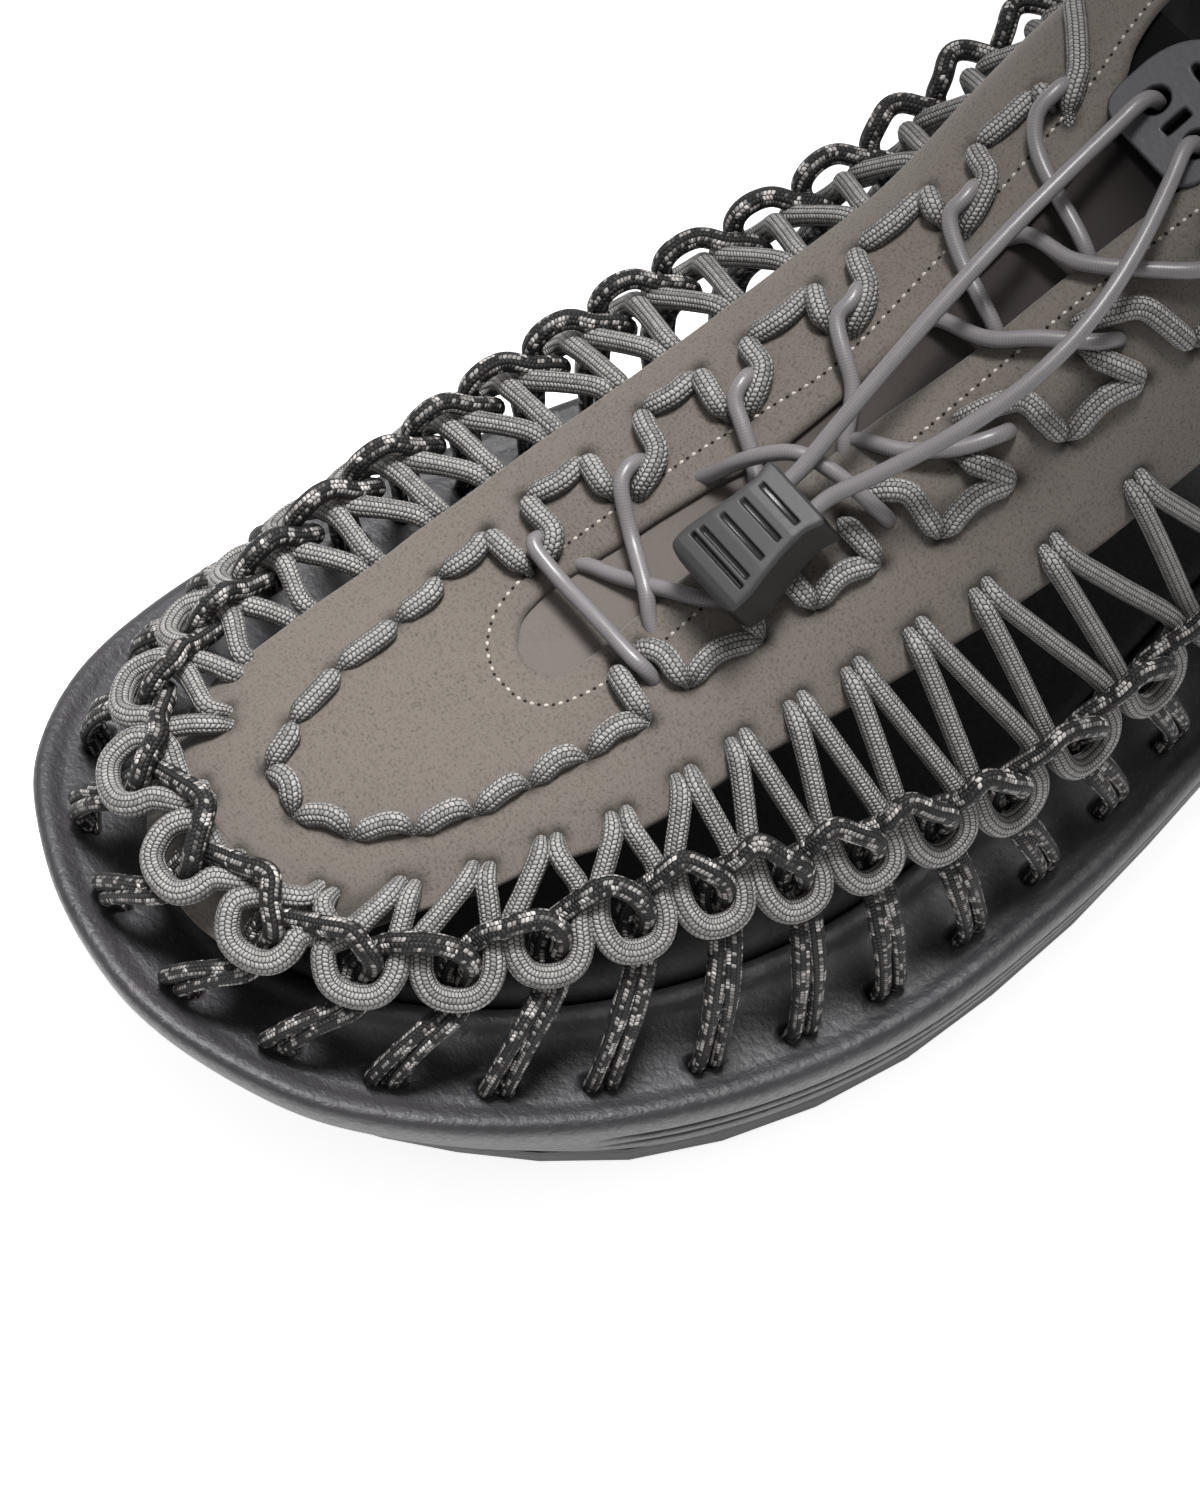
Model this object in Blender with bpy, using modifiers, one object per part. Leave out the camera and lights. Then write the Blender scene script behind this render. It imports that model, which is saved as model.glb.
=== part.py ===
"""Woven sandal, left foot. Toe points to -Y, wearer's outer side to +X, up is +Z.

Every curved piece is taken from one function of the last: last_point(u, s). u runs round the
sole from the toe tip in millimetres, positive on the outer side. s runs from the slot line in
the sole's flange (0) up to the topline of throat and collar (1).
"""
import math

import bmesh
import bpy
import numpy as np

MM = 0.001

# sole, millimetres
LENGTH = 290.4
TOE_SHIFT = 3.1
TOE_SPRING = 20.3
SPRING_FROM = 0.66
ARCH_LIFT = 2.4
INNER_TOE_ROUND = 2.45
OUTER_TOE_ROUND = 1.95
HEEL_ROUND = 2.3
FLANGE_HEIGHT = 20.0
OUTSOLE_TOP = 6.0
LUG_HEIGHT = 3.0
FIT_GAP = 0.3
STATIONS = 26

# upper, millimetres
HALF_GIRTH = 316.0
SLOT_INSET = 7.4
VAMP_WALL = 1.8
VAMP_REAR = 214.0
CORD = 3.3
CORD_WALL = 2.4
BUNGEE = 2.8
UNITS_OUTER = 13
UNITS_INNER = 18
SLOT_DEPTH = 3.6

# half widths of the sole on either side of the axis, by share of length from the heel
SOLE_PLAN = (
    dict(t=0.00, inner=36.0, outer=40.0),
    dict(t=0.12, inner=36.5, outer=40.5),
    dict(t=0.25, inner=37.0, outer=41.5),
    dict(t=0.35, inner=38.0, outer=44.2),
    dict(t=0.46, inner=43.0, outer=51.6),
    dict(t=0.57, inner=50.2, outer=58.4),
    dict(t=0.66, inner=54.6, outer=60.8),
    dict(t=0.72, inner=56.2, outer=60.8),
    dict(t=1.00, inner=56.2, outer=60.8),
)

# sections of the sole, from the footbed's floor over the rim to the bottom edge
MIDSOLE_SECTION = (
    dict(inset=19.6, z=15.8, groove=0.0, tuck=0.0),
    dict(inset=19.6, z=20.2, groove=0.0, tuck=0.0),
    dict(inset=16.6, z=20.2, groove=0.0, tuck=0.0),
    dict(inset=14.8, z=19.2, groove=0.0, tuck=0.0),
    dict(inset=6.0, z=19.2, groove=0.0, tuck=0.0),
    dict(inset=3.8, z=19.1, groove=0.0, tuck=0.0),
    dict(inset=2.4, z=19.5, groove=0.0, tuck=0.0),
    dict(inset=1.0, z=19.1, groove=0.0, tuck=0.0),
    dict(inset=0.2, z=18.0, groove=0.0, tuck=0.0),
    dict(inset=0.0, z=16.4, groove=0.0, tuck=0.0),
    dict(inset=0.1, z=14.6, groove=0.0, tuck=0.3),
    dict(inset=0.15, z=14.1, groove=0.9, tuck=0.35),
    dict(inset=0.25, z=13.4, groove=0.9, tuck=0.45),
    dict(inset=0.3, z=12.9, groove=0.0, tuck=0.5),
    dict(inset=0.5, z=11.1, groove=0.0, tuck=1.0),
    dict(inset=0.55, z=10.6, groove=0.9, tuck=1.2),
    dict(inset=0.65, z=9.9, groove=0.9, tuck=1.4),
    dict(inset=0.7, z=9.4, groove=0.0, tuck=1.6),
    dict(inset=1.4, z=6.3, groove=0.0, tuck=3.2),
)
INSOLE_SECTION = (
    dict(inset=19.9, z=16.1, groove=0.0, tuck=0.0),
    dict(inset=19.9, z=21.6, groove=0.0, tuck=0.0),
    dict(inset=21.2, z=22.6, groove=0.0, tuck=0.0),
    dict(inset=24.5, z=21.4, groove=0.0, tuck=0.0),
    dict(inset=30.0, z=20.4, groove=0.0, tuck=0.0),
)
OUTSOLE_SECTION = (
    dict(inset=1.7, z=6.0, groove=0.0, tuck=3.4),
    dict(inset=1.6, z=4.8, groove=0.0, tuck=3.7),
    dict(inset=2.0, z=1.2, groove=0.0, tuck=4.6),
    dict(inset=3.0, z=0.0, groove=0.0, tuck=4.6),
)

# how far the rim stands out beyond the plan on the inner side of the toe
INNER_RIM = (
    dict(t=0.00, out=0.0), dict(t=0.55, out=0.0), dict(t=0.66, out=0.8), dict(t=0.75, out=1.4),
    dict(t=0.86, out=1.6), dict(t=0.906, out=1.8), dict(t=0.943, out=1.2), dict(t=0.968, out=0.4),
    dict(t=1.00, out=0.0),
)

# how far the rim is drawn back at the blunt tip of the toe
TIP_BACK = 3.2

# how far the slots stand inside the foot line of the last at the toe
SLOT_SHIFT = (
    dict(u=-400, shift=0.0), dict(u=-60, shift=0.0), dict(u=-30, shift=1.2), dict(u=-10, shift=2.0),
    dict(u=20, shift=2.0), dict(u=40, shift=1.0), dict(u=60, shift=0.0), dict(u=400, shift=0.0),
)

# topline of throat and collar, on both sides
TOPLINE = (
    dict(u=0, outer_x=-1.5, inner_x=-1.5, outer_y=-81.5, inner_y=-81.5, z=58.0),
    dict(u=25, outer_x=3.0, inner_x=-6.0, outer_y=-80.5, inner_y=-80.0, z=58.0),
    dict(u=50, outer_x=7.5, inner_x=-10.5, outer_y=-76.5, inner_y=-75.0, z=58.5),
    dict(u=75, outer_x=9.3, inner_x=-12.3, outer_y=-68.0, inner_y=-66.5, z=60.5),
    dict(u=100, outer_x=9.0, inner_x=-11.5, outer_y=-55.0, inner_y=-54.0, z=65.5),
    dict(u=150, outer_x=9.0, inner_x=-10.0, outer_y=-12.0, inner_y=-12.0, z=83.0),
    dict(u=183, outer_x=10.5, inner_x=-10.5, outer_y=19.0, inner_y=19.0, z=97.0),
    dict(u=205, outer_x=14.0, inner_x=-13.5, outer_y=42.0, inner_y=42.0, z=104.5),
    dict(u=220, outer_x=23.0, inner_x=-22.0, outer_y=58.0, inner_y=58.0, z=98.0),
    dict(u=240, outer_x=30.5, inner_x=-29.0, outer_y=76.0, inner_y=76.0, z=81.0),
    dict(u=268, outer_x=31.5, inner_x=-29.5, outer_y=102.0, inner_y=102.0, z=75.0),
    dict(u=295, outer_x=21.0, inner_x=-18.0, outer_y=122.5, inner_y=122.5, z=82.0),
    dict(u=316, outer_x=1.5, inner_x=1.5, outer_y=129.5, inner_y=129.5, z=86.0),
)

# fullness of the section between slot line and topline
PROFILE = (
    dict(u=-316, power=2.0),
    dict(u=-200, power=2.3),
    dict(u=-150, power=2.3),
    dict(u=-60, power=2.2),
    dict(u=0, power=2.05),
    dict(u=60, power=1.85),
    dict(u=150, power=1.75),
    dict(u=316, power=2.0),
)

# heights on the last: saddle edge, pair tops, loop rings
ROWS = (
    dict(u=-230, edge=0.68, pair=0.71, ring=0.6),
    dict(u=-190, edge=0.67, pair=0.7, ring=0.6),
    dict(u=-160, edge=0.7, pair=0.73, ring=0.59),
    dict(u=-120, edge=0.735, pair=0.765, ring=0.56),
    dict(u=-90, edge=0.745, pair=0.775, ring=0.51),
    dict(u=-68, edge=0.74, pair=0.77, ring=0.48),
    dict(u=-45, edge=0.64, pair=0.715, ring=0.475),
    dict(u=-33, edge=0.52, pair=0.66, ring=0.43),
    dict(u=-20, edge=0.385, pair=0.57, ring=0.405),
    dict(u=-5, edge=0.285, pair=0.5, ring=0.415),
    dict(u=9, edge=0.28, pair=0.5, ring=0.412),
    dict(u=22, edge=0.4, pair=0.56, ring=0.412),
    dict(u=34, edge=0.54, pair=0.615, ring=0.42),
    dict(u=46, edge=0.605, pair=0.665, ring=0.44),
    dict(u=57, edge=0.65, pair=0.7, ring=0.48),
    dict(u=72, edge=0.66, pair=0.71, ring=0.495),
    dict(u=86, edge=0.667, pair=0.72, ring=0.485),
    dict(u=98, edge=0.67, pair=0.72, ring=0.44),
    dict(u=110, edge=0.655, pair=0.71, ring=0.41),
    dict(u=120, edge=0.635, pair=0.69, ring=0.37),
    dict(u=132, edge=0.605, pair=0.665, ring=0.315),
    dict(u=146, edge=0.57, pair=0.625, ring=0.295),
    dict(u=164, edge=0.53, pair=0.585, ring=0.27),
    dict(u=190, edge=0.5, pair=0.555, ring=0.25),
    dict(u=230, edge=0.56, pair=0.6, ring=0.25),
)

# where each unit's loop, pair and slot stand, by unit number counted from the toe
UNITS = (
    dict(unit=-19, loop=-217, pair=-207, slot=-219),
    dict(unit=-16, loop=-184, pair=-175, slot=-185),
    dict(unit=-12, loop=-139.5, pair=-130.5, slot=-141),
    dict(unit=-8, loop=-98, pair=-89.5, slot=-99.5),
    dict(unit=-7, loop=-87, pair=-79, slot=-88.5),
    dict(unit=-6, loop=-74, pair=-66, slot=-76),
    dict(unit=-5, loop=-60, pair=-51.5, slot=-63.3),
    dict(unit=-4, loop=-45.5, pair=-36, slot=-50),
    dict(unit=-3, loop=-32.5, pair=-24, slot=-36.5),
    dict(unit=-2, loop=-18, pair=-11, slot=-23),
    dict(unit=-1, loop=-1.2, pair=4, slot=-9),
    dict(unit=0, loop=14.7, pair=18.5, slot=7.9),
    dict(unit=1, loop=30, pair=31, slot=23.6),
    dict(unit=2, loop=44.3, pair=43.5, slot=38.1),
    dict(unit=3, loop=58.3, pair=57, slot=53),
    dict(unit=4, loop=72.3, pair=72, slot=67.2),
    dict(unit=5, loop=85.8, pair=86.5, slot=82),
    dict(unit=6, loop=98.2, pair=98, slot=96.1),
    dict(unit=7, loop=109.5, pair=109, slot=110),
    dict(unit=8, loop=120.8, pair=118.7, slot=124.4),
    dict(unit=9, loop=132.5, pair=129, slot=138.7),
    dict(unit=10, loop=146.3, pair=139.5, slot=153.4),
    dict(unit=11, loop=160, pair=151, slot=167.3),
    dict(unit=12, loop=175, pair=166, slot=181.6),
    dict(unit=13, loop=190, pair=184, slot=196),
    dict(unit=14, loop=206, pair=204, slot=210.4),
)

# corners of the cord laid on the saddle, from the outer side of the instep round the toe
TRIM_PATH = (
    dict(u=204, s=0.80), dict(u=196, s=0.90), dict(u=188, s=0.80), dict(u=180, s=0.72),
    dict(u=173, s=0.71), dict(u=166, s=0.82), dict(u=159, s=0.72), dict(u=152, s=0.82),
    dict(u=147, s=0.82), dict(u=137, s=0.77), dict(u=128, s=0.84), dict(u=118, s=0.82),
    dict(u=112, s=0.89), dict(u=102, s=0.85), dict(u=93, s=0.86), dict(u=80, s=0.83),
    dict(u=65, s=0.85), dict(u=49, s=0.82), dict(u=37, s=0.76), dict(u=26, s=0.70),
    dict(u=15, s=0.65), dict(u=3, s=0.62), dict(u=-9, s=0.63), dict(u=-17, s=0.70),
    dict(u=-29, s=0.79), dict(u=-43, s=0.86), dict(u=-61, s=0.88), dict(u=-78, s=0.88),
    dict(u=-92, s=0.88), dict(u=-106, s=0.87), dict(u=-115, s=0.88), dict(u=-126, s=0.89),
    dict(u=-134, s=0.89), dict(u=-146, s=0.89), dict(u=-154, s=0.87), dict(u=-165, s=0.88),
    dict(u=-175, s=0.86), dict(u=-187, s=0.82), dict(u=-200, s=0.80),
)

# hooks of the bungee on the two edges of the throat, from the toe upward
LACE_ROWS = (
    dict(u=80), dict(u=103), dict(u=125), dict(u=146), dict(u=166), dict(u=186),
)

COLOURS = (
    dict(name="rubber_black", red=0.018, green=0.017, blue=0.018, rough=0.75),
    dict(name="foam_charcoal", red=0.045, green=0.042, blue=0.045, rough=0.70),
    dict(name="footbed_black", red=0.025, green=0.024, blue=0.025, rough=0.85),
    dict(name="suede_taupe", red=0.155, green=0.137, blue=0.120, rough=0.90),
    dict(name="cord_grey", red=0.230, green=0.222, blue=0.215, rough=0.80),
    dict(name="cord_black", red=0.030, green=0.030, blue=0.031, rough=0.70),
    dict(name="lining_grey", red=0.085, green=0.078, blue=0.072, rough=0.90),
    dict(name="bungee_lilac", red=0.250, green=0.235, blue=0.255, rough=0.40),
    dict(name="lock_black", red=0.020, green=0.020, blue=0.021, rough=0.40),
    dict(name="plate_slate", red=0.170, green=0.165, blue=0.180, rough=0.50),
)


def column(rows, name):
    return np.array([row[name] for row in rows], float)


def through(x, xs, ys):
    """Smooth curve through table values that never overshoots them."""
    xs = np.asarray(xs, float)
    ys = np.asarray(ys, float)
    step = np.diff(xs)
    rise = np.diff(ys) / step
    slope = np.zeros_like(ys)
    before = 2 * step[1:] + step[:-1]
    after = step[1:] + 2 * step[:-1]
    for i in range(len(rise) - 1):
        if rise[i] * rise[i + 1] > 0:
            slope[i + 1] = (before[i] + after[i]) / (before[i] / rise[i] + after[i] / rise[i + 1])
    slope[0] = rise[0]
    slope[-1] = rise[-1]
    x = np.clip(np.asarray(x, float), xs[0], xs[-1])
    i = np.clip(np.searchsorted(xs, x, side="right") - 1, 0, len(xs) - 2)
    h = step[i]
    f = (x - xs[i]) / h
    return (ys[i] * (1 + 2 * f) * (1 - f) ** 2 + slope[i] * h * f * (1 - f) ** 2
            + ys[i + 1] * f * f * (3 - 2 * f) + slope[i + 1] * h * f * f * (f - 1))


def from_table(rows, key, name, x):
    return through(x, column(rows, key), column(rows, name))


def round_end(f, power):
    return np.clip(1 - np.clip(f, 0, 1) ** power, 0, 1) ** (1 / power)


def smooth(x):
    x = np.clip(x, 0, 1)
    return x * x * (3 - 2 * x)


def half_widths(t, rim=0.0):
    heel = round_end((0.14 - t) / 0.14, HEEL_ROUND)
    centre = -TOE_SHIFT * np.clip((t - 0.69) / 0.31, 0, 1) ** 1.5
    inner = from_table(SOLE_PLAN, "t", "inner", t) * round_end((t - 0.72) / 0.28, INNER_TOE_ROUND)
    outer = from_table(SOLE_PLAN, "t", "outer", t) * round_end((t - 0.66) / 0.34, OUTER_TOE_ROUND)
    inner = inner + rim * from_table(INNER_RIM, "t", "out", t)
    return centre - inner * heel, centre + outer * heel


def even(points, count):
    closed = np.vstack([points, points[:1]])
    run = np.r_[0, np.cumsum(np.hypot(*np.diff(closed, axis=0).T))]
    at = np.linspace(0, run[-1], count, endpoint=False)
    return np.stack([np.interp(at, run, closed[:, i]) for i in (0, 1)], 1)


def sole_loop(inset, rim, count=1600):
    """Plan outline of the sole moved inward, from the toe tip along the outer side."""
    t = 0.5 + 0.5 * np.cos(np.linspace(0, np.pi, 801))
    inner, outer = half_widths(t, rim)
    y = LENGTH / 2 - t * LENGTH
    outer_y = y + rim * TIP_BACK * smooth((t - 0.945) / 0.045)
    inner_y = y + rim * TIP_BACK * smooth((t - 0.958) / 0.034)
    loop = np.vstack([np.stack([outer, outer_y], 1), np.stack([inner, inner_y], 1)[-2:0:-1]])
    loop = even(loop, count)
    along = np.roll(loop, -1, 0) - np.roll(loop, 1, 0)
    along /= np.hypot(*along.T)[:, None]
    loop = loop + np.stack([-along[:, 1], along[:, 0]], 1) * inset
    blend = np.hanning(27)[1:-1]
    blend /= blend.sum()
    wide = np.vstack([loop[-12:], loop, loop[:12]])
    loop = np.stack([np.convolve(wide[:, i], blend, "valid") for i in (0, 1)], 1)
    loop = even(loop, count)
    return np.roll(loop, -int(np.argmin(loop[:, 1])), 0)


def spring(y):
    t = 0.5 - np.asarray(y, float) / LENGTH
    return TOE_SPRING * np.clip((t - SPRING_FROM) / (1 - SPRING_FROM), 0, 1) ** 1.8


def arch(y):
    t = 0.5 - np.asarray(y, float) / LENGTH
    return ARCH_LIFT * np.sin(np.pi * np.clip((t - 0.28) / 0.20, 0, 1)) ** 2


def sole_ring(inset):
    """One ring of the sole. The two sides share stations in y, so it can be capped straight across."""
    loop = sole_loop(inset, np.clip((15.0 - inset) / 9.0, 0, 1))
    heel = int(np.argmax(loop[:, 1]))
    outer = loop[:heel + 1]
    inner = np.vstack([loop[heel:], loop[:1]])[::-1]
    y = loop[0, 1] + (loop[heel, 1] - loop[0, 1]) * (0.5 - 0.5 * np.cos(np.linspace(0, np.pi, STATIONS + 1)))
    outer_x = np.interp(y, outer[:, 1], outer[:, 0])
    inner_x = np.interp(y, inner[:, 1], inner[:, 0])
    middle = slice(1, STATIONS)
    ring = np.vstack([
        [[(outer_x[0] + inner_x[0]) / 2, y[0]]],
        np.stack([outer_x[middle], y[middle]], 1),
        [[(outer_x[-1] + inner_x[-1]) / 2, y[-1]]],
        np.stack([inner_x[middle], y[middle]], 1)[::-1],
    ])
    return ring


def groove_share(y):
    t = 0.5 - np.asarray(y, float) / LENGTH
    return np.clip((0.85 - t) / 0.05, 0, 1) * np.clip((t - 0.06) / 0.05, 0, 1)


def tuck_share(y):
    """How far the wall is drawn in under the toe, from none at the ball to all at the tip."""
    return smooth((0.5 - np.asarray(y, float) / LENGTH - 0.79) / 0.17)


SLOT_LINE = sole_loop(SLOT_INSET, 0.0)
SLOT_HEEL = int(np.argmax(SLOT_LINE[:, 1]))
SOLE_EDGE = sole_loop(0.0, 1.0)
SOLE_CENTRE = (SOLE_EDGE.max(axis=0) + SOLE_EDGE.min(axis=0)) / 2


def foot_point(u):
    count = len(SLOT_LINE)
    u = np.asarray(u, float)
    share = np.clip(np.abs(u) / HALF_GIRTH, 0, 1)
    at = np.where(u >= 0, share * SLOT_HEEL, count - share * (count - SLOT_HEEL))
    index = np.arange(count + 1)
    x = np.interp(at, index, np.r_[SLOT_LINE[:, 0], SLOT_LINE[0, 0]])
    y = np.interp(at, index, np.r_[SLOT_LINE[:, 1], SLOT_LINE[0, 1]])
    return np.stack([x, y, FLANGE_HEIGHT + spring(y)], -1)


def top_point(u):
    u = np.asarray(u, float)
    a = np.abs(u)
    side = {}
    for axis in ("x", "y"):
        outer = from_table(TOPLINE, "u", "outer_" + axis, a)
        inner = from_table(TOPLINE, "u", "inner_" + axis, a)
        side[axis] = np.where(u >= 0, outer, inner)
    return np.stack([side["x"], side["y"], from_table(TOPLINE, "u", "z", a)], -1)


def last_point(u, s):
    u, s = np.broadcast_arrays(np.asarray(u, float), np.asarray(s, float))
    foot = foot_point(u)
    top = top_point(u)
    power = from_table(PROFILE, "u", "power", u)
    turn = np.pi / 2 * np.clip(s, 0, 1)
    inward = 1 - np.clip(np.cos(turn), 0, 1) ** (2 / power)
    upward = np.sin(turn) ** (2 / power)
    flat = foot[..., :2] + (top - foot)[..., :2] * inward[..., None]
    height = foot[..., 2] + (top - foot)[..., 2] * upward
    return np.concatenate([flat, height[..., None]], -1)


def last_normal(u, s):
    u, s = np.broadcast_arrays(np.asarray(u, float), np.asarray(s, float))
    low = np.clip(s - 0.01, 0.02, 0.97)
    along = last_point(u + 1.0, low + 0.01) - last_point(u - 1.0, low + 0.01)
    up = last_point(u, low + 0.02) - last_point(u, low)
    normal = np.cross(along, up)
    return normal / np.linalg.norm(normal, axis=-1)[..., None]


def on_last(u, s, lift):
    lift = np.asarray(lift, float)
    return last_point(u, s) + last_normal(u, s) * lift[..., None]


def clear_scene():
    for thing in list(bpy.data.objects):
        bpy.data.objects.remove(thing, do_unlink=True)


def new_collection(name):
    group = bpy.data.collections.new(name)
    bpy.context.scene.collection.children.link(group)
    return group


def paint(obj, colour):
    row = next(row for row in COLOURS if row["name"] == colour)
    material = bpy.data.materials.get(colour)
    if material is None:
        material = bpy.data.materials.new(colour)
        material.use_nodes = True
        shader = material.node_tree.nodes["Principled BSDF"]
        shader.inputs["Base Color"].default_value = (row["red"], row["green"], row["blue"], 1.0)
        shader.inputs["Roughness"].default_value = row["rough"]
    obj.data.materials.append(material)


def mesh_object(name, points, faces, group, colour=None):
    mesh = bpy.data.meshes.new(name)
    placed = (np.asarray(points, float) - np.array([SOLE_CENTRE[0], SOLE_CENTRE[1], 0.0])) * MM
    mesh.from_pydata(placed.tolist(), [], faces)
    bm = bmesh.new()
    bm.from_mesh(mesh)
    bmesh.ops.remove_doubles(bm, verts=bm.verts, dist=0.00002)
    bm.to_mesh(mesh)
    bm.free()
    mesh.validate()
    obj = bpy.data.objects.new(name, mesh)
    group.objects.link(obj)
    if colour:
        paint(obj, colour)
    return obj


def face_outward(obj):
    bm = bmesh.new()
    bm.from_mesh(obj.data)
    bmesh.ops.recalc_face_normals(bm, faces=bm.faces)
    bm.to_mesh(obj.data)
    bm.free()


def thicken(obj, wall):
    """The surface drawn is the outer skin; the wall grows inward from it."""
    solid = obj.modifiers.new("wall", "SOLIDIFY")
    solid.thickness = wall * MM
    solid.offset = -1.0
    solid.use_even_offset = True
    solid.use_quality_normals = True


def subtract(obj, cutter):
    cut = obj.modifiers.new("cut", "BOOLEAN")
    cut.operation = "DIFFERENCE"
    cut.solver = "EXACT"
    cut.object = cutter


def as_cutter(obj):
    obj.hide_render = True
    obj.display_type = "WIRE"


def grid_faces(rows, columns):
    faces = []
    for r in range(rows - 1):
        for c in range(columns - 1):
            a = r * columns + c
            faces.append((a, a + 1, a + columns + 1, a + columns))
    return faces


def sole_body(name, section, lift, group, colour):
    """Loft the section round the sole and cap its first and last ring straight across."""
    points = []
    for row in section:
        ring = sole_ring(row["inset"])
        share = groove_share(ring[:, 1])
        if row["groove"]:
            deep = sole_ring(row["inset"] + row["groove"])
            ring = ring + (deep - ring) * share[:, None]
        if row["tuck"]:
            under = sole_ring(row["inset"] + row["tuck"])
            ring = ring + (under - sole_ring(row["inset"])) * tuck_share(ring[:, 1])[:, None]
        z = row["z"] + lift(ring[:, 1], row["z"])
        points.append(np.column_stack([ring, z]))
    count = 2 * STATIONS
    faces = []
    for r in range(len(section) - 1):
        for c in range(count):
            d = (c + 1) % count
            faces.append((r * count + c, r * count + d, (r + 1) * count + d, (r + 1) * count + c))
    for r in (0, len(section) - 1):
        base = r * count
        faces.append((base, base + 1, base + count - 1))
        for c in range(1, STATIONS - 1):
            faces.append((base + c, base + c + 1, base + count - c - 1, base + count - c))
        faces.append((base + STATIONS - 1, base + STATIONS, base + STATIONS + 1))
    obj = mesh_object(name, np.vstack(points), faces, group, colour)
    face_outward(obj)
    return obj


def upper_lift(y, z):
    return spring(y)


def bottom_lift(y, z):
    return spring(y) + arch(y) * (z < 2.0)


def box_points(centre, along, across, up, size):
    corners = []
    for k in (-0.5, 0.5):
        for i, j in ((-0.5, -0.5), (0.5, -0.5), (0.5, 0.5), (-0.5, 0.5)):
            corners.append(centre + along * size[0] * i + across * size[1] * j + up * size[2] * k)
    return np.array(corners)


BOX_FACES = ((3, 2, 1, 0), (4, 5, 6, 7), (0, 1, 5, 4), (1, 2, 6, 5), (2, 3, 7, 6), (3, 0, 4, 7))


def boxes_object(name, boxes, group, colour=None):
    points = np.vstack(boxes)
    faces = [tuple(v + 8 * b for v in face) for b in range(len(boxes)) for face in BOX_FACES]
    return mesh_object(name, points, faces, group, colour)


def unit_numbers():
    return np.arange(-UNITS_INNER, UNITS_OUTER + 1)


def slot_u(unit):
    return from_table(UNITS, "unit", "slot", np.asarray(unit, float))


def slot_point(u):
    """Middle of a slot: the foot of the last, moved inward at the toe."""
    away = last_normal(u, 0.02) * np.array([1.0, 1.0, 0.0])
    away /= np.linalg.norm(away)
    return foot_point(u) - away * float(from_table(SLOT_SHIFT, "u", "shift", u))


def loop_u(unit):
    return from_table(UNITS, "unit", "loop", unit)


def pair_u(unit):
    return from_table(UNITS, "unit", "pair", np.asarray(unit, float))


def row_s(name, u):
    return from_table(ROWS, "u", name, u)


def strip_edges(points, normals, width):
    """The two edges of a flat strip along points with normals, mitred at its corners."""
    ahead = np.vstack([points[1:] - points[:-1], points[-1:] - points[-2:-1]])
    back = np.vstack([ahead[:1], ahead[:-1]])
    ahead /= np.linalg.norm(ahead, axis=1)[:, None]
    back /= np.linalg.norm(back, axis=1)[:, None]
    side_ahead = np.cross(normals, ahead)
    side_back = np.cross(normals, back)
    side = side_ahead + side_back
    side /= np.linalg.norm(side, axis=1)[:, None]
    miter = np.clip(1 / np.maximum(np.sum(side * side_ahead, axis=1), 0.3), 1, 1.5)
    side *= (miter * width / 2)[:, None]
    return np.stack([points - side, points + side], 1).reshape(-1, 3)


def strip(name, path, width, wall, group, colour):
    points, normals = path
    faces = [(2 * i, 2 * i + 2, 2 * i + 3, 2 * i + 1) for i in range(len(points) - 1)]
    obj = mesh_object(name, strip_edges(points, normals, width), faces, group, colour)
    thicken(obj, wall)
    return obj


def tube(name, paths, diameter, sides, group, colour=None):
    """Round cords along point paths, as one curve object turned to mesh."""
    points = []
    faces = []
    for path in paths:
        path = np.asarray(path, float)
        base = len(points)
        ahead = np.gradient(path, axis=0)
        ahead /= np.linalg.norm(ahead, axis=1)[:, None]
        frame = np.cross(ahead[0], [0.0, 0.0, 1.0])
        frame /= np.linalg.norm(frame)
        for i, centre in enumerate(path):
            frame = frame - ahead[i] * np.dot(frame, ahead[i])
            frame /= np.linalg.norm(frame)
            other = np.cross(ahead[i], frame)
            for k in range(sides):
                turn = 2 * math.pi * (k + 0.5) / sides
                points.append(centre + (frame * math.cos(turn) + other * math.sin(turn)) * diameter / 2)
        for i in range(len(path) - 1):
            for k in range(sides):
                a = base + i * sides + k
                b = base + i * sides + (k + 1) % sides
                faces.append((a, b, b + sides, a + sides))
        faces.append(tuple(base + k for k in range(sides))[::-1])
        end = base + (len(path) - 1) * sides
        faces.append(tuple(end + k for k in range(sides)))
    obj = mesh_object(name, points, faces, group, colour)
    face_outward(obj)
    return obj


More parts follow.
